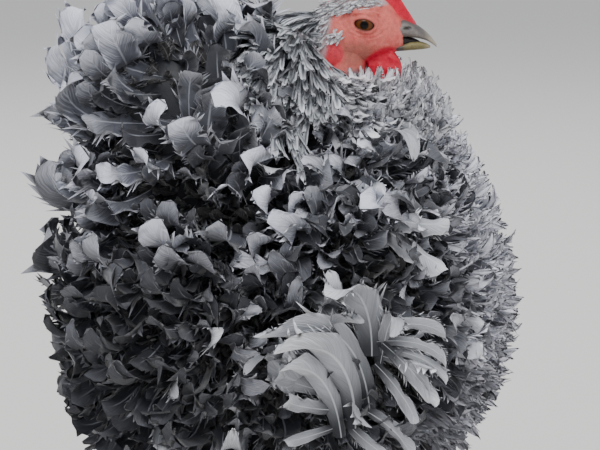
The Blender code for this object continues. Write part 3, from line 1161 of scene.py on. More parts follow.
class Mouth(Enum):
    """The two halves of the bill and the lining between them."""

    UPPER = "bill_upper"
    LOWER = "bill_lower"
    LINING = "mouth"


@dataclass
class Bill:
    """The horn bill in the head's frame, slightly open, with the lining of the mouth painted near-black as
    shade inside the gape.
    """

    along: Row = (14.0, 17.5, 20, 25, 29, 32, 34.2)
    ridge: Row = (0.4, 0.6, 0.4, -2.2, -5.4, -8.8, -12.2)
    edge: Row = (-8.0, -8.0, -8.0, -8.8, -10.0, -11.8, -13.7)
    half_width: Row = (5.2, 5.3, 5.1, 4.3, 3.2, 2.0, 0.5)
    low_along: Row = (13, 18, 22, 26, 29, 31.2)
    low_ridge: Row = (-11.6, -11.2, -10.2, -10.4, -11.4, -12.8)
    low_edge: Row = (-14.6, -14.6, -14.5, -14.4, -14.2, -13.8)
    low_half_width: Row = (4.9, 4.6, 4.0, 3.1, 2.1, 0.7)
    nostril: Pair = (20.6, -3.6)
    horn_dark: Triple = (0.085, 0.078, 0.075)
    horn_grey: Triple = (0.20, 0.175, 0.16)
    horn_olive: Triple = (0.24, 0.20, 0.085)
    horn_pale: Triple = (0.46, 0.40, 0.30)
    # Near-black: painted shade inside the gape and in the nostril.
    lining: Triple = (0.010, 0.006, 0.006)

    def section(self, mouth: Mouth) -> Callable[[float, float], Vector]:
        """The tube of one half of the bill, or of the lining between them.

        Args:
            mouth: which of them.

        Returns:
            A function of t along it and of an angle round it.
        """
        rows = {
            Mouth.UPPER: (self.along, self.ridge, self.edge, self.half_width, 0.28, 1.0),
            Mouth.LOWER: (self.low_along, self.low_ridge, self.low_edge, self.low_half_width, -0.25, 1.0),
            Mouth.LINING: ((12, 16, 19, 22, 24.5, 26.2), (-7, -7, -7.4, -8.2, -9.2, -10.2),
                           (-12.6, -12.6, -12.2, -11.6, -11.4, -11.2), self.low_half_width, 0.0, 0.86),
        }[mouth]
        along, top, low, wide, rounding, share = rows

        def point(t: float, turn: float) -> Vector:
            """The point at t along the bill and at an angle round it."""
            c, s = math.cos(turn), math.sin(turn)
            up = math.copysign(abs(s) ** 0.9, s)
            across = math.copysign(abs(c) ** 0.9, c)
            high, deep = smooth_through(top, t), smooth_through(low, t)
            width = smooth_through(wide, t) * (1 - rounding * up) * share
            height = (high + deep) / 2 + up * (high - deep) / 2
            place = Vector((smooth_through(along, t), across * width, height))
            if mouth is Mouth.UPPER:
                away = math.hypot((place.x - self.nostril[0]) / 2.6, (place.z - self.nostril[1]) / 1.0)
                place.y *= 1 - 0.22 * max(0.0, 1 - away ** 2)
                place.y *= 1 + 0.05 * math.exp(-((away - 1.3) / 0.3) ** 2)
            return place * MM

        return point

    def colour(self, mouth: Mouth, p: Vector) -> Vector:
        """The horn's colour at a point of the head's frame, in millimetres.

        Args:
            mouth: which part the point is on.
            p: the point.

        Returns:
            The colour.
        """
        if mouth is Mouth.LINING:
            # Painted shade: the lining inside the gape is near-black.
            return Vector(self.lining)
        tip = ramp(27, 33, p.x)
        if mouth is Mouth.LOWER:
            return layered(self.horn_dark, (self.horn_olive, ramp(16, 21, p.x)), (self.horn_pale, 0.55 * tip))
        high = smooth_through(self.ridge, max(0.0, min(1.0, (p.x - 14) / 20)))
        away = math.hypot((p.x - self.nostril[0]) / 2.4, (p.z - self.nostril[1]) / 0.9)
        return layered(
            self.horn_grey,
            (self.horn_dark, 0.75 * ramp(high - 3.2, high - 0.6, p.z)),
            (self.horn_dark, 0.6 * (1 - ramp(-11.5, -8.5, p.z)) * (1 - tip)),
            # Painted shade in the nostril, in the lining's near-black.
            (self.lining, 0.9 * (1 - ramp(0.6, 1.2, away))),
            (self.horn_pale, 0.7 * tip))

    def build(self, head: Matrix, mouth: Mouth) -> Piece:
        """Builds and dresses one half of the bill, or the lining.

        Args:
            head: the head's frame.
            mouth: which of them.

        Returns:
            The piece.
        """
        bm = bmesh.new()
        tube(bm, self.section(mouth), 60, 44)
        for vert in bm.verts:
            growth = 0.05 * math.sin(vert.co.x / MM * 4.2 + 2 * noise.noise(vert.co / MM * 0.4))
            vert.co.y *= 1 + growth * 0.25
        piece = new_object(mouth.value + "_horn", bm)
        paint(piece, lambda co: self.colour(mouth, co / MM))
        piece.data.transform(head)
        piece.data.materials.append(BareFinish(piece.name, 1900.0, 0.38).material())
        return dress(piece, Slot.HORN, *([] if mouth is Mouth.LINING else [mouth.value]))


@dataclass
class Eye:
    """An eyeball with a bulged cornea, amber iris and round pupil.

    Attributes:
        spread: how far its middle is from the head's middle.
        iris: the radius of the iris.
        pupil: the radius of the pupil.
        bulge: how far the cornea stands out.
    """

    spread: float = 8.3
    radius: float = 6.0
    iris: float = 4.3
    pupil: float = 2.0
    bulge: float = 0.45
    amber: Triple = (0.13, 0.038, 0.007)
    ring: Triple = (0.045, 0.014, 0.006)

    def build(self, head: Matrix, side: Side) -> Piece:
        """Builds and dresses one eye.

        Args:
            head: the head's frame.
            side: which eye.

        Returns:
            The eye.
        """
        bm = bmesh.new()
        bmesh.ops.create_uvsphere(bm, u_segments=64, v_segments=72, radius=self.radius * MM)
        turn = Matrix.Rotation(math.radians(-90 * side.value), 3, "X")
        bmesh.ops.rotate(bm, verts=bm.verts, cent=(0, 0, 0), matrix=turn)
        gaze: list[float] = []
        for vert in bm.verts:
            out = vert.co.y * side.value
            away = math.hypot(vert.co.x, vert.co.z) / MM
            if out > 0 and away < self.iris:
                vert.co.y += side.value * self.bulge * MM * (1 - (away / self.iris) ** 2)
            gaze.append(away if out > 0 else 9.0)
        eye = new_object("eyeball_" + side.word, bm)
        eye.data.attributes.new("gaze", "FLOAT", "POINT").data.foreach_set("value", gaze)
        eye.data.transform(side.at((0, self.spread, 0)))
        eye.data.transform(head)
        eye.data.materials.append(bpy.data.materials.get("eye_amber") or self.material())
        return dress(eye, Slot.EYE, "eye_" + side.word)

    def material(self) -> Material:
        """The iris, pupil and dark outer ring by distance from the line of sight, under a wet gloss.

        Returns:
            The material.
        """
        made = Finish(
            "eye_amber", Roughness=0.15, Coat_Weight=0.12, Coat_Roughness=0.03, Specular_IOR_Level=0.1)
        place = made.add("TexCoord").outputs["Object"]
        flecks = made.add("TexNoise", Vector=place, Scale=2200.0, Detail=4).outputs["Fac"]
        uneven = made.maths("MULTIPLY_ADD", flecks, 0.5, made.attribute("gaze", "Fac"))
        share = made.add("MapRange", Value=uneven, From_Max=6.0).outputs["Result"]
        colours = made.add("ValToRGB", Fac=share)
        black = (0.002, 0.002, 0.002)
        dark, dusky = (tuple(part * c for c in self.amber) for part in (0.55, 0.75))
        edge = self.pupil / 6
        stops = ((0.0, black), (edge, black), (edge + 0.05, dark), (0.48, self.amber), (0.62, dusky),
                 (0.72, self.ring), (1.0, self.ring))
        elements = colours.color_ramp.elements
        while len(elements) < len(stops):
            elements.new(0.5)
        for element, (position, colour) in zip(elements, stops):
            element.position = position
            element.color = (*colour, 1)
        made.put(made.shader.inputs["Base Color"], colours.outputs["Color"])
        return made.material


@dataclass
class Claws:
    """The claws: the CAD's curved cones made smooth, dark at the root and pale at the tip."""

    root_colour: Triple = (0.16, 0.125, 0.090)
    tip_colour: Triple = (0.46, 0.40, 0.31)

    def build(self) -> list[Piece]:
        """Builds every claw, riding on the hen."""
        material = BareFinish("claw_horn", 1500.0, 0.35).material()
        names = [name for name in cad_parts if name.startswith("claw")]
        return [self.claw(name, material) for name in names]

    def claw(self, name: str, material: Material) -> Piece:
        """One claw, from its CAD node's shape.

        Args:
            name: its node.
            material: its finish.

        Returns:
            The claw.
        """
        bm = bmesh.new()
        bm.from_mesh(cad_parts[name].data)
        bmesh.ops.remove_doubles(bm, verts=bm.verts, dist=1e-6)
        claw = new_object(name + "_horn", bm)
        rounding = claw.modifiers.new("smooth", "SUBSURF")
        rounding.levels = rounding.render_levels = 2
        apply_modifiers(claw)
        claw.data.shade_smooth()
        low, high = (Vector(corner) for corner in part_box(name))
        tall = max(high.z - low.z, MM)
        claw.data.materials.clear()
        paint(claw, lambda co: layered(
            self.tip_colour, (self.root_colour, ramp(0.1, 0.9, (co.z - low.z) / tall))))
        claw.data.materials.append(material)
        return dress(claw, Slot.HORN, name)


SLATE = FeatherFinish(
    "feather_slate", Shade.LACED, (0.010, 0.011, 0.015), (0.075, 0.078, 0.098), (0.56, 0.57, 0.64),
    slot=Slot.SLATE)
SMOKE = FeatherFinish(
    "feather_smoke", Shade.LACED, (0.014, 0.015, 0.020), (0.14, 0.145, 0.17), (0.68, 0.69, 0.76))
PEARL = FeatherFinish(
    "feather_pearl", Shade.LACED, (0.020, 0.022, 0.028), (0.40, 0.41, 0.44), (0.80, 0.81, 0.85), 0.45)
BREAST = FeatherFinish(
    "feather_breast", Shade.LACED, (0.030, 0.030, 0.040), (0.32, 0.32, 0.36), (0.68, 0.68, 0.74), 0.35)
HACKLE = FeatherFinish(
    "feather_hackle", Shade.STREAKED, (0.030, 0.036, 0.050), (0.56, 0.58, 0.62), (0.80, 0.81, 0.84))
DOWN = FeatherFinish(
    "feather_down", Shade.DOWNY, (0.012, 0.012, 0.014), (0.055, 0.053, 0.056), (0.20, 0.19, 0.19), 0.45, 0.8,
    Slot.FLUFF)
CROWN = FeatherFinish(
    "feather_crown", Shade.DOWNY, (0.42, 0.42, 0.44), (0.74, 0.74, 0.77), (0.88, 0.88, 0.90), 0.2)


@dataclass
class Vane:
    """The net of one feather: a grid with pointed barbs down both sides and round the tip.

    Attributes:
        across: cells across the solid part of the vane.
        along: cells from root to tip.
        solid: how much of the half width is solid vane; the rest is the barbs' points.
        slant: how many cells forward the barbs' points lie.
    """

    across: int = 4
    along: int = 12
    solid: float = 0.68
    slant: float = 0.4
    u: Array = field(init=False)
    v: Array = field(init=False)
    point: Array = field(init=False)
    quads: Array = field(init=False)
    barbs: Array = field(init=False)

    def __post_init__(self) -> None:
        """Builds the net from a grid and one extra point for each edge on its rim."""
        bm = bmesh.new()
        bmesh.ops.create_grid(bm, x_segments=self.across, y_segments=self.along, size=1)
        bm.verts.index_update()
        rim = [e for e in bm.edges if e.is_boundary and max(v.co.y for v in e.verts) > -0.99]
        solid = [(v.co.x * self.solid, ((v.co.y + 1) / 2) ** 0.85) for v in bm.verts]
        quads = [[v.index for v in f.verts] for f in bm.faces]
        barbs, points = [], []
        for edge in rim:
            a, b = edge.verts
            x = (a.co.x + b.co.x) / 2
            y = ((max(a.co.y, b.co.y) + 1) / 2) ** 0.85
            if abs(a.co.x - b.co.x) < 1e-4:
                points.append((math.copysign(1.0, x), min(y + self.slant / self.along, 1.03)))
            else:
                points.append((x * self.solid, 1 + 0.15 / self.along))
            barbs.append([a.index, b.index, len(solid) + len(points) - 1])
        bm.free()
        net = np.array(solid + points)
        self.u, self.v = net[:, 0], net[:, 1]
        # The tip is rounded: its corners lie further back than its middle.
        self.v = self.v - 0.11 * self.u ** 2 * np.clip(self.v, 0, 1) ** 5
        self.point = np.arange(len(net)) >= len(solid)
        self.quads, self.barbs = np.array(quads), np.array(barbs)


BROAD = Vane(2, 14, 0.72, 1.1)
SPLIT = Vane(2, 14, 0.50, 1.5)
SMALL = Vane(2, 9, 0.50, 1.0)
SLIM = Vane(2, 8, 0.78)
TINY = Vane(1, 4, 0.7)
QUILL = Vane(4, 20, 0.62, 1.4)
RIBBON = Vane(6, 26, 0.74, 1.8)


@dataclass(frozen=True)
class Form:
    """The form that a patch's feathers share.

    Attributes:
        vane: their net.
        finish: their material.
        width: across the vane at its widest.
        start: the angle at which they leave the skin.
        curl: the least and the most that they turn to at the tip.
        hold: how late the curl comes: 1 is even and more is nearer the tip.
        roll: how far the vane rolls across, in radians.
        blunt: the width left at the tip.
        ragged: how uneven the barbs' points are.
        sway: how far they stray sideways, in radians.
        bend: how far they hook sideways, in radians.
        full: how wide they are at the base, from 0 to 1.
        longest: their greatest length.
        least: their least length.
    """

    vane: Vane
    finish: FeatherFinish
    width: float | Array
    start: float = 24
    curl: tuple = (70, 220)
    hold: float = 2.4
    roll: float = 0.8
    blunt: float = 0.55
    ragged: float = 0.30
    sway: float = 0.30
    bend: float | Array = 0.0
    full: float = 0.0
    longest: float = 95
    least: float = 4


# The steps along a feather's centre line, and the places along it where its width is set: of the
# full width, a narrow feather has these shares at the first three.
STEPS = 24
STATIONS = (0, 0.06, 0.3, 0.6, 0.85, 1.0, 1.1)
NARROW_BASE = (0.06, 0.25, 0.72)
# How far above the floor the lowest feathers stay, in millimetres.
FLOOR_GAP = 1.6


@dataclass
class Feathers:
    """Many feathers of one form. Each array has one row for each feather.

    Attributes:
        root: where each leaves the skin, in metres.
        lie: the way it lies along the body.
        rise: the way out of the body.
        place: its place on the skin's unwrap, two numbers from 0 to 1.
        tone: how pale it is, from 0 to 1, with painted shade in it on the body's coat.
        form: the form that they share.
        seed: of their small differences.
        steeper: how much more steeply each leaves.
    """

    root: Array
    lie: Array
    rise: Array
    place: Array
    tone: Array
    form: Form
    seed: int
    steeper: float | Array = 0.0

    def __post_init__(self) -> None:
        """Bends each feather's centre line, one long, from its root."""
        self.rng = np.random.default_rng(self.seed)
        rng, form, count = self.rng, self.form, len(self.root)
        t = (np.arange(STEPS) + 0.5) / STEPS
        lie = unit(self.lie)
        rise = unit(self.rise - (self.rise * lie).sum(1, keepdims=True) * lie)
        self.beside = np.cross(lie, rise)
        start = np.radians(form.start + self.steeper + rng.normal(0, 0.25 * form.start, count))
        curl = np.radians(rng.uniform(*form.curl, count))
        angle = start[:, None] + (curl - start)[:, None] * t[None] ** form.hold
        sway = ((rng.normal(0, form.sway, count) + form.bend)[:, None] * t[None] ** 1.5)[..., None]
        way = np.cos(angle)[..., None] * lie[:, None] + np.sin(angle)[..., None] * rise[:, None]
        self.way = np.cos(sway) * way + np.sin(sway) * self.beside[:, None]
        self.flat = np.cos(sway) * self.beside[:, None] - np.sin(sway) * way
        self.line = np.concatenate([np.zeros((count, 1, 3)), np.cumsum(self.way, 1) / STEPS], 1)
        self.length = np.full(count, form.longest * MM)

    def fit(self, envelope: Envelope, share: Pair) -> None:
        """Sets each length so that the feather's outermost point reaches a share of the envelope.

        Args:
            envelope: the plumage's outside.
            share: the least and the most of the way from the heart that a feather reaches.
        """
        goal = self.rng.uniform(*share, len(self.root))
        low, high = np.full(len(goal), self.form.least * MM), np.full(len(goal), self.form.longest * MM)
        for _ in range(10):
            middle = (low + high) / 2
            path = self.root[:, None] + self.line * middle[:, None, None] - np.array(HEART)
            out = (np.linalg.norm(path, axis=-1) / envelope.reach(path)).max(1)
            high = np.where(out > goal, middle, high)
            low = np.where(out > goal, low, middle)
        self.length = low

    def shorten(self, low: float, high: float) -> None:
        """Gives the feathers lengths between two, in millimetres."""
        self.length = self.rng.uniform(low, high, len(self.root)) * MM

    def keep(self, mask: Array) -> None:
        """Keeps the feathers that a mask picks."""
        for name in ("root", "lie", "rise", "place", "tone", "beside", "way", "flat", "line", "length"):
            setattr(self, name, getattr(self, name)[mask])

    def clear_face(self, head: Matrix) -> None:
        """Drops the feathers that would cross the face or the lobes.

        Args:
            head: the head's frame.
        """
        back = np.array(head.inverted())
        for reach, middle in FACE_ROOMS:
            path = self.root[:, None] + self.line * self.length[:, None, None]
            local = (path @ back[:3, :3].T + back[:3, 3]) / MM
            local[..., 1] = np.abs(local[..., 1])
            inside = (((local - np.array(middle)) / np.array(reach)) ** 2).sum(-1) < 1
            self.keep(~inside.any(1))

    def shape(self) -> Array:
        """Bends the net along each feather's centre line.

        Returns:
            The points, as an array of feathers by net points by three.
        """
        rng, form, vane, count = self.rng, self.form, self.form.vane, len(self.root)
        line = self.root[:, None] + self.line * self.length[:, None, None]
        at = np.clip(vane.v, 0, 1) * STEPS
        low = np.minimum(at.astype(int), STEPS - 1)
        part = (at - low)[None, :, None]
        centre = line[:, low] * (1 - part) + line[:, low + 1] * part
        heading = self.way[:, np.minimum(low, STEPS - 1)]
        centre = centre + heading * (np.maximum(vane.v - 1, 0)[None, :] * self.length[:, None])[..., None]
        twist = rng.normal(0, 0.40, count)[:, None] * vane.v[None] ** 1.3
        flat = self.flat[:, np.minimum(low, STEPS - 1)]
        face = np.cross(flat, heading)
        side = np.cos(twist)[..., None] * flat + np.sin(twist)[..., None] * face
        face = np.cross(side, heading)
        base = np.array(NARROW_BASE) * (1 - form.full) + form.full
        profile = np.interp(vane.v, STATIONS, (*base, 1.0, 0.90, form.blunt, form.blunt * 0.8))
        rags = 1 + np.where(vane.point, rng.uniform(-form.ragged, form.ragged * 0.8, (count, len(vane.u))), 0)
        split = rng.uniform(0.35, 1.1, count)[:, None]
        where = np.abs(vane.v[None] - split) < 0.06
        left = (vane.u[None] > 0) == (rng.random(count) > 0.5)[:, None]
        rags = rags * np.where(where & left & (np.abs(vane.u) > 0.4)[None], 0.62, 1)
        width = form.width * MM * rng.uniform(0.72, 1.25, count)
        half = width[:, None] / 2 * profile[None] * rags
        bow = form.roll * rng.uniform(0.3, 1.6, count)[:, None] * np.abs(vane.u)[None] + 1e-4
        out = vane.u[None] * half * np.sin(bow) / bow
        ripple = vane.v[None] * rng.uniform(9, 22, count)[:, None] + rng.uniform(0, 6.3, count)[:, None]
        wave = 0.20 * np.sin(ripple) * np.sign(vane.u)[None]
        lift = np.abs(vane.u)[None] * half * ((1 - np.cos(bow)) / bow + wave)
        return centre + side * out[..., None] - face * lift[..., None]

    def piece(self, name: str) -> Piece:
        """Joins all the feathers into one coat piece with its maps, tone and material.

        Args:
            name: the piece's name.

        Returns:
            The coat piece.
        """
        points, vane = self.shape(), self.form.vane
        count, size = points.shape[:2]
        points[..., 2] = np.maximum(points[..., 2], FLOOR_GAP * MM)
        shift = (np.arange(count) * size)[:, None, None]
        quads = (vane.quads[None] + shift).reshape(-1, 4)
        barbs = (vane.barbs[None] + shift).reshape(-1, 3)
        loops = np.concatenate([quads.ravel(), barbs.ravel()]).astype(np.int32)
        starts = np.concatenate([np.arange(len(quads)) * 4, quads.size + np.arange(len(barbs)) * 3])
        mesh = bpy.data.meshes.new(name)
        mesh.vertices.add(count * size)
        mesh.vertices.foreach_set("co", points.astype(np.float32).ravel())
        mesh.loops.add(len(loops))
        mesh.loops.foreach_set("vertex_index", loops)
        mesh.polygons.add(len(starts))
        mesh.polygons.foreach_set("loop_start", starts.astype(np.int32))
        mesh.update(calc_edges=True)
        mesh.validate()
        mesh.shade_smooth()
        own = np.stack([vane.u / 2 + 0.5, np.clip(vane.v, 0, 1)], 1)
        spread = self.place[:, None] * (1 - BAKE_PATCH) + own[None] * BAKE_PATCH
        for layer_name, values in (("OFBake", spread), ("Vane", np.broadcast_to(own, spread.shape))):
            layer = mesh.uv_layers.new(name=layer_name)
            layer.data.foreach_set("uv", values.reshape(-1, 2)[loops].astype(np.float32).ravel())
        tone = mesh.attributes.new("tone", "FLOAT", "POINT")
        tone.data.foreach_set("value", np.repeat(self.tone, size).astype(np.float32))
        finish = self.form.finish
        mesh.materials.append(bpy.data.materials.get(finish.name) or finish.material())
        LOG.info("%s: %d feathers, %d triangles", name, count, 2 * len(quads) + len(barbs))
        return dress(placed(name, mesh), finish.slot)


def even_directions(count: int) -> Array:
    """Directions spread evenly over a ball, as an array of count by three.

    Args:
        count: how many.

    Returns:
        The directions, each one long.
    """
    i = np.arange(count) + 0.5
    z = 1 - 2 * i / count
    ring = np.sqrt(1 - z * z)
    turn = math.pi * (1 + math.sqrt(5)) * i
    return np.stack([ring * np.cos(turn), ring * np.sin(turn), z], 1)


def globe_place(ways: Array) -> Array:
    """Places on the skin's unwrap, which opens it like a globe behind the hen."""
    east = np.arctan2(ways[:, 1], ways[:, 0]) / (2 * math.pi) + 0.5
    north = np.arcsin(np.clip(ways[:, 2], -1, 1)) / math.pi + 0.5
    return np.stack([east, north], 1)


def clumps(points: Array, scale: float, seed: float) -> Array:
    """Slow noise from -1 to 1 over points in millimetres, which neighbouring feathers share."""
    shift = Vector((seed * 7.3, seed * 3.1, seed * 5.7))
    return np.array([noise.noise(Vector(p) / scale + shift) for p in points])


# Where the coat parts, on the cushion and on the wing: place, how wide it rules, its strength.
WHORLS = (
    ((-62.0, 42.0, 246.0), 62.0, 1.0),
    ((-8.0, 78.0, 152.0), 52.0, 0.9),
)
# Painted shade in the hollows behind and below the wing: place, how wide, how dark.
HOLLOW_SHADES = (
    ((-60.0, 60.0, 180.0), 34.0, 0.6),
    ((40.0, 84.0, 100.0), 28.0, 0.5),
    ((-36.0, 88.0, 112.0), 26.0, 0.3),
)
# The rooms kept clear of feathers, round the face and the lobes: reach and middle in the head's frame.
FACE_ROOMS = (((22.5, 22.0, 22.5), (-0.5, 0.0, -3.5)), ((8.6, 16.0, 10.0), (-14.6, 16.0, -12.5)))
# How much more steeply feathers stand in a whorl's middle, and how wide that middle is.
WHORL_RISE = 34.0
WHORL_MIDDLE = 24
# The middle of the cushion's whorl on the left, and how far the feathers that rise there spread.
PARTING_PLACE = (-63.0, 49.0, 247.0)
PARTING_REACH = 27
# How far the plumage reaches from the heart on average, and how wide the clumps of feathers are
# that stray from the lie together and that share a tone.
MEAN_REACH = 110
STRAY_CLUMP = 26
TONE_CLUMP = 15


def mirrored(place: Row, points: Array) -> Array:
    """A place on the left side of the hen, or its mirror image for the points on the right."""
    side = np.where(points[:, 1] < 0, -1.0, 1.0)
    ones = np.ones_like(side)
    return np.array(place)[None] * np.stack([ones, side, ones], 1)


def near(place: Row, radius: float, points: Array) -> Array:
    """How near points are to a place on either side: 1 there, fading out past the radius."""
    return np.exp(-(np.linalg.norm(points - mirrored(place, points), axis=1) / radius) ** 2)


def shaded(points: Array) -> Array:
    """Painted shade on the coat at points in millimetres: darker in its hollows and lower down, not at the
    throat.

    Args:
        points: points on the plumage's outside.

    Returns:
        The share of its light that each loses.
    """
    low = (1 - ramps(180, 245, points[:, 2])) * (1 - ramps(-95, -15, points[:, 0]))
    pale = ramps(205, 245, points[:, 2]) * ramps(20, 50, points[:, 0])
    front = (1 - ramps(80, 170, points[:, 2])) * ramps(30, 70, points[:, 0])
    deep = sum(dark * near(place, wide, points) for place, wide, dark in HOLLOW_SHADES)
    return np.minimum(deep + 0.85 * low + 0.42 * front - 0.20 * pale, 0.95)


def whorled(points: Array) -> Array:
    """The lie of the body's coat: out from its whorls on both sides, and down below.

    Args:
        points: roots in millimetres.

    Returns:
        The way each feather lies, before it is laid on the skin.
    """
    lie = np.zeros_like(points)
    for place, rule, strength in WHORLS:
        away = points - mirrored(place, points)
        far = np.linalg.norm(away, axis=1, keepdims=True)
        lie += strength * away / np.maximum(far, 1) * np.exp(-(far / rule) ** 2 / 2)
    lie[:, 2] -= 0.15 + 0.9 * ramps(-150, -70, -points[:, 2])
    lie[:, 0] += 0.5 * ramps(30, 90, points[:, 0])
    lie[:, 2] -= 0.5 * ramps(60, 100, points[:, 0])
    return lie


def turned(lie: Array, out: Array, turn: Array) -> Array:
    """Ways to lie, each turned on the surface by an angle in radians."""
    return np.cos(turn)[:, None] * lie + np.sin(turn)[:, None] * np.cross(out, lie)


def lying(forward: float | Array, left: float | Array, up: float | Array) -> Array:
    """Joins the parts of a way to lie, each one number or one for each feather."""
    return np.stack(np.broadcast_arrays(forward, left, up), 1)


class Region(Enum):
    """A region of the plumage's outside."""

    ALL = "the whole body but the top of the neck, where the hackle lies flat"
    REAR = "the tail and the cushion over it"
    PARTING = "the middle of the whorl on the cushion, on both sides"
    FLANK = "the back and flanks of the trunk"
    CAPE = "the shoulders, below the hackle and the ruff"
    WING = "both wings"
    WING_EDGE = "both wings, apart from where their ribbons stand"
    BREAST = "the breast and the front of the neck"
    FLUFF = "the thighs and the belly between them"
    HACKLE = "the back and sides of the neck, behind the face"
    RUFF = "the sides of the neck, under the face"
    THROAT = "the throat, in front of the wattles"

    def holds(self, p: Array, node: Array) -> Array:
        """Picks the points that lie in the region.

        Args:
            p: points on the plumage's outside, in millimetres.
            node: the name of the node at each.

        Returns:
            Whether each point lies in the region.
        """
        x, z = p[:, 0], p[:, 2]
        trunk, neck = node == "trunk", node == "neck"
        wing, thigh = (np.char.startswith(node, word) for word in ("wing", "thigh"))
        hackle, ruff = neck & (x < 14) & (z > 260), neck & (x >= 10) & (z > 250)
        above_belly = z > 96 + 0.25 * x
        off_ribbons = ((x - 2) / 33) ** 2 + ((z - 134) / 42) ** 2 > 1
        return {
            Region.ALL: ~neck | (z < 262),
            Region.REAR: np.isin(node, ("tail", "cushion")),
            Region.PARTING: np.linalg.norm(p - mirrored(PARTING_PLACE, p), axis=1) < PARTING_REACH,
            Region.FLANK: trunk & (x <= 40) & above_belly,
            Region.CAPE: neck & (x < 58) & ~hackle & ~ruff,
            Region.WING: wing,
            Region.WING_EDGE: wing & off_ribbons,
            Region.BREAST: (trunk & (x > 40) & (z > 62)) | (neck & (x >= 46)),
            Region.FLUFF: thigh | (trunk & ~above_belly & ((x <= 40) | (z <= 62))),
            Region.HACKLE: hackle,
            Region.RUFF: ruff,
            Region.THROAT: (x > 36) & (z > 236),
        }[self]


@dataclass
class CoatPatch:
    """A stretch of the body's coat.

    Attributes:
        name: the piece's name.
        each: how much of the outside each feather has, in square millimetres.
        region: where the feathers come out.
        form: the form of its feathers.
        tone: the middle tone and how far it strays.
        share: how much of the way to the outside they reach.
        turn: how far feathers stray from the lie, in radians.
        seed: of its small differences.
        combed: gives the feathers' lie, where it doesn't follow the body's whorls.
        rise: how much more steeply they stand in a whorl's middle.
    """

    name: str
    each: float
    region: Region
    form: Form
    tone: Pair
    share: Pair
    turn: float = 0.4
    seed: int = 1
    combed: Callable[[Array], Array] | None = None
    rise: float = WHORL_RISE

    def build(self, envelope: Envelope, head: Matrix) -> Piece:
        """Roots the feathers on the skin and lets them reach the outside of the CAD plumage.

        Args:
            envelope: the plumage's outside.
            head: the head's frame.

        Returns:
            The coat piece.
        """
        rng = np.random.default_rng(self.seed)
        count = int(4 * math.pi * MEAN_REACH ** 2 / self.each)
        ways = unit(even_directions(count) + rng.normal(0, 0.9 / math.sqrt(count), (count, 3)))
        outside = np.array(HEART) + ways * envelope.reach(ways)[:, None]
        mask = self.region.holds(outside / MM, envelope.names(ways))
        ways, outside = ways[mask], outside[mask]
        root = np.array(HEART) + ways * (envelope.skin(ways, head.translation) - 1.0 * MM)[:, None]
        rise = envelope.normal(ways) if self.combed else ways
        lie = laid((self.combed or whorled)(outside / MM), rise, self.combed is not None)
        true = np.linalg.norm(lie, axis=1) > (0.5 if self.combed else 0.0)
        ways, outside, root, rise = (rows[true] for rows in (ways, outside / MM, root, rise))
        lie = unit(lie[true])
        turn = 3.2 * self.turn * clumps(outside, STRAY_CLUMP, self.seed) + rng.normal(0, self.turn, len(ways))
        lie = turned(lie, rise, turn)
        patchy = clumps(outside, TONE_CLUMP, self.seed + 40) + rng.normal(0, 0.55, len(ways))
        tone = np.clip(self.tone[0] + self.tone[1] * patchy, 0, 1.1)
        # Painted shade: feathers are darker in the coat's hollows and lower down.
        tone = np.clip(tone * (1 - shaded(outside)), 0, 1)
        steeper = sum(self.rise * near(place, WHORL_MIDDLE, outside) for place, _, _ in WHORLS)
        feathers = Feathers(root, lie, rise, globe_place(ways), tone, self.form, self.seed + 100, steeper)
        feathers.fit(envelope, self.share)
        feathers.clear_face(head)
        return feathers.piece(self.name)


def down_neck(p: Array) -> Array:
    """Hackle feathers hang back and down from the head."""
    return lying(-0.50, 0.20 * np.sign(p[:, 1]), -0.85)


def up_cushion(p: Array) -> Array:
    """Feathers in the middle of the cushion's whorl rise, a little forward."""
    return lying(0.30, -0.25 * np.sign(p[:, 1]), 0.9)


def down_throat(p: Array) -> Array:
    """Ruff feathers hang from the throat and stand a little forward."""
    return lying(0.10 + 0.006 * p[:, 0], 0.15 * np.sign(p[:, 1]), -0.9)


def forward(p: Array) -> Array:
    """Throat feathers stand forward and curl up."""
    return lying(0.8, 0.25 * np.sign(p[:, 1]), 0.35)


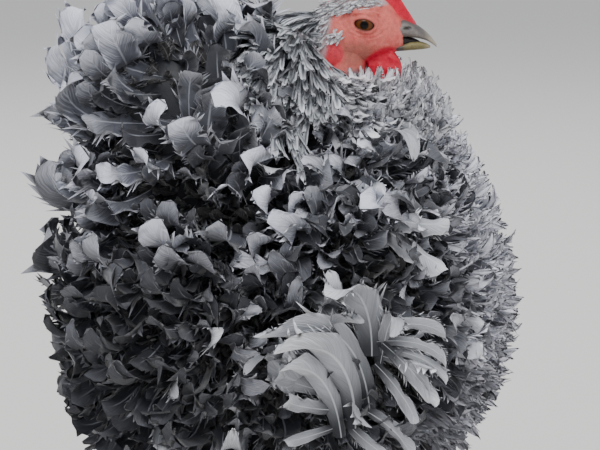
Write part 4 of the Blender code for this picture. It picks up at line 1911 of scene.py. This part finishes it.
def body_coat() -> list[CoatPatch]:
    """The patches that cover the body: a dark under-coat, then the feathers that show.

    Returns:
        The patches, from the skin outward in each region.
    """
    under = Form(SMALL, DOWN, 13, 52, (60, 130), 1.6, longest=60, ragged=0.6, blunt=0.4)
    middle = Form(BROAD, SLATE, 15, 24, (60, 200), 2.2, roll=1.0, ragged=0.45)
    tail = Form(BROAD, SLATE, 22, 20, (50, 240), 2.8, roll=1.0, ragged=0.5)
    back = Form(BROAD, SLATE, 19, 20, (50, 220), 2.6, roll=1.0, ragged=0.55)
    leaf = Form(BROAD, SMOKE, 20, 14, (20, 120), 2.2, roll=1.0, ragged=0.45, longest=62, least=34)
    shoulder = Form(BROAD, SMOKE, 13, 24, (70, 220), 2.4, roll=1.1, ragged=0.55)
    torn = Form(SPLIT, SMOKE, 14, 24, (70, 200), 2.2, roll=0.9, ragged=0.4)
    ribbon = Form(QUILL, PEARL, 19, 15, (80, 240), 3.0, roll=1.2, ragged=0.5, longest=110, blunt=0.35)
    front = Form(SPLIT, BREAST, 10, 28, (70, 170), 1.8, ragged=0.45, longest=60, blunt=0.35)
    fine = Form(SMALL, BREAST, 6.0, 34, (60, 150), 1.6, ragged=0.5, longest=55, blunt=0.3)
    lower = Form(SPLIT, DOWN, 11.0, 34, (50, 130), 1.4, ragged=0.5, longest=60, blunt=0.35, sway=0.45)
    neck = Form(SLIM, HACKLE, 4.8, 12, (0, 34), 1.8, roll=0.7, ragged=0.35, blunt=0.3, sway=0.14,
                longest=42, least=28)
    bib = Form(SLIM, CROWN, 6.2, 20, (25, 80), 1.8, roll=0.8, ragged=0.45, blunt=0.4, sway=0.2,
               longest=22, least=10)
    front_down = Form(SMALL, CROWN, 5.4, 40, (50, 110), 1.6, roll=0.8, ragged=0.5, blunt=0.3, longest=40)
    return [
        CoatPatch("under_coat", 50, Region.ALL, under, (0.3, 0.3), (0.78, 0.88), 0.8, 2, rise=-14),
        # The _low layers of the tail, back and wings lie under the feathers that show and have lower tones:
        # painted shade deeper in the coat.
        CoatPatch("coat_tail_low", 100, Region.REAR, middle, (0.25, 0.3), (0.86, 0.95), 0.5, 3, rise=8),
        CoatPatch("coat_tail", 150, Region.REAR, tail, (0.85, 0.45), (0.96, 1.03), 0.35, 4),
        CoatPatch("coat_parting", 90, Region.PARTING, leaf, (0.3, 0.35), (0.94, 1.02), 0.35, 20,
                  up_cushion, 0.0),
        CoatPatch("coat_back_low", 130, Region.FLANK, middle, (0.2, 0.3), (0.86, 0.95), 0.5, 5),
        CoatPatch("coat_back", 140, Region.FLANK, back, (0.34, 0.50), (0.95, 1.02), 0.4, 6),
        CoatPatch("coat_cape", 80, Region.CAPE, shoulder, (0.4, 0.45), (0.92, 1.02), 0.4, 7),
        CoatPatch("coat_cape_torn", 130, Region.CAPE, torn, (0.5, 0.4), (0.94, 1.02), 0.4, 17),
        CoatPatch("coat_wings_low", 110, Region.WING, middle, (0.15, 0.30), (0.86, 0.95), 0.5, 8),
        CoatPatch("coat_wings", 150, Region.WING_EDGE, shoulder, (0.28, 0.4), (0.92, 1.0), 0.5, 9),
        CoatPatch("coat_wings_torn", 150, Region.WING_EDGE, torn, (0.36, 0.4), (0.92, 1.01), 0.5, 19),
        CoatPatch("coat_wings_long", 420, Region.WING_EDGE, ribbon, (0.72, 0.35), (0.97, 1.04), 0.6, 10),
        CoatPatch("coat_breast", 34, Region.BREAST, front, (0.75, 0.4), (0.90, 1.03), 0.5, 11),
        CoatPatch("coat_breast_fine", 26, Region.BREAST, fine, (0.85, 0.4), (0.94, 1.03), 0.5, 14),
        CoatPatch("coat_fluff", 36, Region.FLUFF, lower, (0.40, 0.5), (0.88, 1.02), 0.7, 12),
        CoatPatch("hackle", 8, Region.HACKLE, neck, (0.5, 0.5), (0.95, 1.03), 0.10, 15, down_neck),
        CoatPatch("ruff", 9, Region.RUFF, bib, (0.65, 0.4), (0.90, 1.03), 0.15, 16, down_throat),
        CoatPatch("throat", 12, Region.THROAT, front_down, (0.65, 0.35), (0.98, 1.07), 0.4, 18, forward),
    ]


@dataclass(frozen=True)
class WingRibbons:
    """The broad curled feathers of the wings, the same on both sides.

    Attributes:
        rows: each feather's root, where it comes out of the coat on the left, the point it heads for,
            its length and width, the angle its tip turns to, its sideways bend in radians, its tone.
        inside: how far inside the coat they are rooted.
        shade: how pale the palest is.
    """

    rows: Sequence[tuple] = (
        ((4, 97, 99), (-3, 99, 152), 80, 25, 95, 1.7, 0.95),
        ((10, 98, 106), (1, 95, 165), 90, 22, 130, 2.1, 0.85),
        ((-4, 98, 97), (-12, 97, 140), 62, 20, 80, 1.3, 0.95),
        ((9, 100, 136), (9, 95, 171), 56, 19, 150, 1.4, 0.92),
        ((15, 99, 130), (20, 95, 165), 46, 13, 190, 0.5, 0.70),
        ((8, 99, 151), (33, 100, 156), 40, 8, 100, -0.9, 0.90),
        ((8, 99, 146), (36, 99, 147), 42, 8, 110, -1.0, 0.85),
        ((10, 99, 141), (36, 97, 138), 40, 8, 90, -0.9, 0.85),
        ((11, 99, 136), (36, 97, 130), 36, 7, 90, -0.7, 0.75),
        ((14, 101, 145), (36, 96, 125), 40, 16, 70, -0.6, 0.92),
        ((12, 100, 132), (32, 95, 112), 36, 13, 90, -0.5, 0.60),
        ((16, 81, 201), (42, 88, 182), 42, 21, 45, -0.2, 1.00),
        ((20, 79, 208), (44, 84, 197), 34, 15, 60, 0.3, 0.90),
        ((4, 99, 110), (27, 94, 98), 34, 12, 70, -0.4, 0.60),
        ((-2, 97, 104), (14, 93, 88), 30, 12, 75, 0.3, 0.75),
        ((-16, 97, 118), (-24, 90, 158), 56, 18, 150, -1.5, 0.45),
        ((-24, 92, 112), (-34, 89, 148), 54, 15, 160, 1.2, 0.40),
        ((-8, 98, 134), (-32, 91, 137), 38, 10, 80, 0.8, 0.65),
        ((-6, 100, 118), (-32, 92, 125), 40, 11, 90, -0.7, 0.80),
        ((-6, 99, 110), (-28, 95, 113), 36, 11, 80, -0.6, 0.85),
        ((-8, 97, 102), (-26, 93, 98), 30, 10, 70, -0.4, 0.75),
    )
    inside: float = 11.5
    shade: float = 0.54

    def build(self, envelope: Envelope) -> Piece:
        """Roots the ribbons of both wings a little inside the coat.

        Args:
            envelope: the plumage's outside.

        Returns:
            The coat piece.
        """
        sides = np.array([[[1.0, side.value, 1.0]] for side in Side])
        columns = [np.array(column) for column in zip(*self.rows)]
        root, tip = ((column[None] * sides).reshape(-1, 3) * MM for column in columns[:2])
        length, width, curl, hook, tone = (np.tile(column, 2) for column in columns[2:])
        hook = hook * np.repeat([side.value for side in Side], len(self.rows))
        ways = unit(root - np.array(HEART))
        rise = envelope.normal(ways)
        form = Form(RIBBON, PEARL, width, 10, (curl - 12, curl + 12), 2.4, roll=1.5, blunt=0.5, ragged=0.6,
                    sway=0.1, bend=hook, full=0.55)
        sunk, place = root - rise * self.inside * MM, globe_place(ways)
        feathers = Feathers(sunk, tip - root, rise, place, self.shade * tone, form, 41)
        feathers.length = length * MM
        return feathers.piece("wing_ribbons")


class Scatter:
    """Picks well-spaced places on the skin."""

    def __init__(self, skin: Piece, head: Matrix) -> None:
        """Reads the skin's triangles, and notes the head's frame.

        Args:
            skin: the finished skin.
            head: the head's frame.
        """
        mesh = skin.data
        mesh.calc_loop_triangles()
        count = len(mesh.loop_triangles)
        corners = np.empty(count * 3, int)
        mesh.loop_triangles.foreach_get("vertices", corners)
        places = np.empty(len(mesh.vertices) * 3)
        mesh.vertices.foreach_get("co", places)
        self.corners = places.reshape(-1, 3)[corners.reshape(-1, 3)]
        cross = np.cross(self.corners[:, 1] - self.corners[:, 0], self.corners[:, 2] - self.corners[:, 0])
        self.area = np.linalg.norm(cross, axis=1) / 2
        self.normal = unit(cross)
        self.middle = self.corners.mean(1)
        self.head = np.array(head)
        self.back = np.array(head.inverted())

    def in_head(self, points: Array) -> Array:
        """Points of the row's frame in the head's frame, in millimetres."""
        return (points @ self.back[:3, :3].T + self.back[:3, 3]) / MM

    def pick(self, weight: Array, gap: float, seed: int) -> tuple[Array, Array]:
        """Picks places at least a gap apart.

        Args:
            weight: how likely each triangle is, for its area.
            gap: the least distance between two places, in millimetres.
            seed: the seed of the places.

        Returns:
            The places in metres, and the way out of the skin at each.
        """
        rng = np.random.default_rng(seed)
        chance = self.area * weight
        tries = int(4 * (self.area * (weight > 0.05)).sum() / (gap * MM) ** 2) + 8
        index = rng.choice(len(chance), tries, p=chance / chance.sum())
        a, b = rng.random((2, tries, 1))
        flip = a + b > 1
        a, b = np.where(flip, 1 - a, a), np.where(flip, 1 - b, b)
        corner = self.corners[index]
        points = corner[:, 0] + a * (corner[:, 1] - corner[:, 0]) + b * (corner[:, 2] - corner[:, 0])
        taken: dict[tuple[int, ...], list[int]] = {}
        kept: list[int] = []
        for i, cell in enumerate(map(tuple, np.floor(points / (gap * MM)).astype(int))):
            around = [j for x in (-1, 0, 1) for y in (-1, 0, 1) for z in (-1, 0, 1)
                      for j in taken.get((cell[0] + x, cell[1] + y, cell[2] + z), ())]
            if all(np.dot(points[i] - points[j], points[i] - points[j]) > (gap * MM) ** 2 for j in around):
                taken.setdefault(cell, []).append(i)
                kept.append(i)
        return points[kept], self.normal[index][kept]


class Bed(Enum):
    """A part of the skin that small feathers are rooted in."""

    CROWN = "the crown behind the comb, and the back of the head"
    EAR = "the tuft over the ear, above the lobe"
    NAPE = "the back of the head and neck, where the hackle starts"
    MANE = "the back of the crown, where the longest hackle feathers start"
    JAW = "the top of the neck, right under the jaw and the lobes"
    SHANK = "the outer sides of the shanks and the feet, down the outer toe"

    def holds(self, h: Array, p: Array, out: Array) -> Array:
        """How likely a root is at points of the skin, from 0 to 1.

        Args:
            h: the points in the head's frame, in millimetres.
            p: the same in the row's frame.
            out: the way out of the skin at each.

        Returns:
            The likelihood at each point.
        """
        x, y, z = h[:, 0], np.abs(h[:, 1]), h[:, 2]
        far = np.linalg.norm(h, axis=1)
        if self is Bed.CROWN:
            top = ramps(7.4, 9.0, z - 0.10 * np.minimum(x, 0)) * (1 - ramps(8, 12, x))
            nape = (1 - ramps(-17.5, -15.5, x - 0.22 * z)) * (z > -8)
            off_comb = (y > 2.6) | (x < -16)
            return np.maximum(top, nape) * off_comb * (z < 16) * (far < 30)
        if self is Bed.EAR:
            return (np.hypot((x + 12.2) / 3.4, (z + 3.6) / 2.8) < 1) & (y > 8)
        if self is Bed.NAPE:
            return (1 - ramps(-22, -18, x - 0.35 * np.maximum(z, -13))) * (z < 13) * (z > -34) * (far < 46)
        if self is Bed.MANE:
            return (1 - ramps(-20, -14, x)) * (z > 1) * (z < 15) * (far < 34)
        if self is Bed.JAW:
            return (z > -28) & (z < -19.5) & (x < 3) & (y > 4) & (x > -24)
        on_side = (p[:, 2] > 7) & (p[:, 2] < 52) & (out[:, 1] * np.sign(p[:, 1]) > -0.15)
        return on_side | ((p[:, 2] < 12) & (np.abs(p[:, 1]) > 38) & (p[:, 0] < 16) & (out[:, 2] > 0.1))


@dataclass
class Growth:
    """Small feathers rooted straight on the skin of the head, neck, shanks and feet.

    Attributes:
        name: the piece's name.
        gap: the least distance between roots.
        bed: where they are rooted.
        lie: the way they lie, from their roots in the head's and the row's frame.
        form: their form.
        length: their least and greatest length.
        tone: the middle tone and how far it strays.
        clear: whether they keep clear of the face and hang free of the skin.
        seed: of their small differences.
    """

    name: str
    gap: float
    bed: Bed
    lie: Callable[[Array, Array], Array]
    form: Form
    length: Pair
    tone: Pair
    clear: bool = False
    seed: int = 1

    def build(self, scatter: Scatter) -> Piece:
        """Roots the feathers and lays them.

        Args:
            scatter: picks places on the skin.

        Returns:
            The coat piece.
        """
        rng = np.random.default_rng(self.seed)
        weight = self.bed.holds(scatter.in_head(scatter.middle), scatter.middle / MM, scatter.normal)
        root, out = scatter.pick(weight, self.gap, self.seed)
        lie = laid(self.lie(scatter.in_head(root), root / MM), out, self.clear)
        true = np.linalg.norm(lie, axis=1) > 0.45
        root, out, lie = root[true], out[true], unit(lie[true])
        lie = turned(lie, out, 0.5 * clumps(root / MM, 9, self.seed) + rng.normal(0, 0.22, len(root)))
        patchy = clumps(root / MM, 7, self.seed + 3) + rng.normal(0, 0.5, len(root))
        tone = np.clip(self.tone[0] + self.tone[1] * patchy, 0, 1)
        place = globe_place(unit(root - (np.array(HEART) if self.clear else scatter.head[:3, 3])))
        feathers = Feathers(root - out * 0.4 * MM, lie, out, place, tone, self.form, self.seed + 9)
        feathers.shorten(*self.length)
        if self.clear:
            feathers.clear_face(Matrix(scatter.head.tolist()))
        return feathers.piece(self.name)


def down_nape(h: Array, p: Array) -> Array:
    """Feathers on the nape hang back and down from the head, further back the higher they are."""
    high = np.clip(h[:, 2], -10, 12)
    return lying(-0.62 - 0.03 * high, 0.2 * np.sign(p[:, 1]), -0.80 + 0.02 * high)


def arched_back(h: Array, p: Array) -> Array:
    """Mane feathers go straight back from the crown before they arch down."""
    return lying(-1.0, 0.16 * h[:, 1] / 8, -0.42)


def straight_down(h: Array, p: Array) -> Array:
    """Feathers under the jaw hang straight down."""
    return lying(-0.1, 0.2 * np.sign(p[:, 1]), -1.0)


def back_over(h: Array, p: Array) -> Array:
    """Crown feathers lie back over the head."""
    return lying(-1.0, 0.25 * np.sign(h[:, 1]), -0.25)


def out_and_back(h: Array, p: Array) -> Array:
    """Feathers on the shanks lie outward, back and down."""
    return lying(-0.55, 0.65 * np.sign(p[:, 1]), -0.5)


def head_and_legs() -> list[Growth]:
    """The small feathers of the head, neck, shanks and feet.

    Returns:
        The growths.
    """
    tiny = Form(TINY, CROWN, 1.4, 7, (0, 24), 1.6, roll=0.4, ragged=0.4, sway=0.10)
    tuft = Form(TINY, CROWN, 1.3, 24, (20, 50), 1.4, roll=0.4, ragged=0.4, sway=0.3)
    nape = Form(SLIM, HACKLE, 4.2, 12, (0, 28), 1.8, roll=0.6, ragged=0.35, blunt=0.35, sway=0.15)
    mane = Form(SLIM, HACKLE, 4.4, 30, (-48, -12), 1.3, roll=0.7, ragged=0.35, blunt=0.35, sway=0.15)
    jaw = Form(SLIM, CROWN, 4.6, 22, (20, 60), 1.8, roll=0.7, ragged=0.4, blunt=0.45, sway=0.15)
    shank = Form(SMALL, DOWN, 6.5, 22, (30, 90), 1.8, ragged=0.5, blunt=0.4, sway=0.3)
    return [
        Growth("feathers_crown", 1.05, Bed.CROWN, back_over, tiny, (5, 9), (0.65, 0.3), seed=21),
        Growth("feathers_ear", 0.9, Bed.EAR, back_over, tuft, (3.5, 5.5), (0.6, 0.4), seed=22),
        Growth("feathers_nape", 2.0, Bed.NAPE, down_nape, nape, (24, 36), (0.6, 0.5), True, 23),
        Growth("feathers_mane", 1.9, Bed.MANE, arched_back, mane, (24, 37), (0.55, 0.5), True, 26),
        Growth("feathers_jaw", 2.2, Bed.JAW, straight_down, jaw, (9, 15), (0.85, 0.3), seed=24),
        Growth("feathers_shank", 2.6, Bed.SHANK, out_and_back, shank, (13, 24), (0.5, 0.4), seed=25),
    ]


@dataclass
class Studio:
    """The floor, the soft lights and the camera at the photo's angle.

    Attributes:
        azimuth: the camera's turn from straight along +Y.
        elevation: how far it looks down.
        distance: from the point it looks at, in metres like the next three.
        frame_width: what the frame spans at that point.
        aim_right: how far that point is right of the origin as seen.
        aim_up: how far it is above the floor.
    """

    azimuth: float = -20.0
    elevation: float = 9.0
    distance: float = 1.5
    frame_width: float = 0.288
    aim_right: float = 0.0068
    aim_up: float = 0.185
    sensor: float = 36.0

    def build(self) -> None:
        """Adds the floor, the lights, the world and the camera."""
        self.floor()
        self.lights()
        self.camera()

    def floor(self) -> None:
        """Adds the plain pale floor."""
        bm = bmesh.new()
        bmesh.ops.create_grid(bm, x_segments=1, y_segments=1, size=14)
        floor = new_object("floor", bm)
        pale = Finish("floor_pale", Base_Color=(0.80, 0.775, 0.74, 1), Roughness=0.9)
        floor.data.materials.append(pale.material)

    def lights(self) -> None:
        """Adds a wide key light, a fill and an even sky."""
        for name, place, size, power in (
            ("key", (-0.5, -1.1, 2.0), 1.2, 34.0),
            ("fill", (1.7, -1.0, 0.8), 1.6, 7.0),
            ("back", (0.3, 1.5, 1.6), 1.2, 16.0),
        ):
            light = bpy.data.lights.new(name, "AREA")
            light.size = size
            light.energy = power
            lamp = placed(name, light)
            lamp.location = place
            lamp.rotation_euler = (Vector((0, 0, 0.17)) - Vector(place)).to_track_quat("-Z", "Y").to_euler()
        world = bpy.data.worlds.new("sky")
        world.use_nodes = True
        sky = world.node_tree.nodes["Background"].inputs
        sky["Color"].default_value = (0.86, 0.89, 0.95, 1)
        sky["Strength"].default_value = 0.75
        bpy.context.scene.world = world

    def camera(self) -> None:
        """Adds the camera and makes it the scene's."""
        a, e = math.radians(self.azimuth), math.radians(self.elevation)
        right = Vector((math.cos(a), math.sin(a), 0))
        back = Vector((math.sin(a) * math.cos(e), -math.cos(a) * math.cos(e), math.sin(e)))
        aim = right * self.aim_right + Vector((0, 0, self.aim_up))
        data = bpy.data.cameras.new("camera")
        data.sensor_width = self.sensor
        data.lens = self.sensor * self.distance / self.frame_width
        data.clip_start = 0.05
        camera = placed("camera", data)
        camera.location = aim + back * self.distance
        camera.rotation_euler = back.to_track_quat("Z", "Y").to_euler()
        bpy.context.scene.camera = camera


def main() -> None:
    """Builds every piece of the hen, then the studio, and notes the sizes."""
    logging.basicConfig(level=logging.INFO, format="%(message)s")
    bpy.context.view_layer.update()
    head = head_matrix()
    envelope = Envelope()
    skin = Skin().build(envelope, head)
    LOG.info("%s: %d faces", skin.name, len(skin.data.polygons))
    pieces = [Bill().build(head, mouth) for mouth in Mouth]
    pieces += [Eye().build(head, side) for side in Side]
    pieces += Claws().build()
    for piece in pieces:
        LOG.info("%s: %d faces", piece.name, len(piece.data.polygons))
    for patch in body_coat():
        patch.build(envelope, head)
    WingRibbons().build(envelope)
    scatter = Scatter(skin, head)
    for growth in head_and_legs():
        growth.build(scatter)
    Studio().build()


if __name__ == "__main__":
    main()
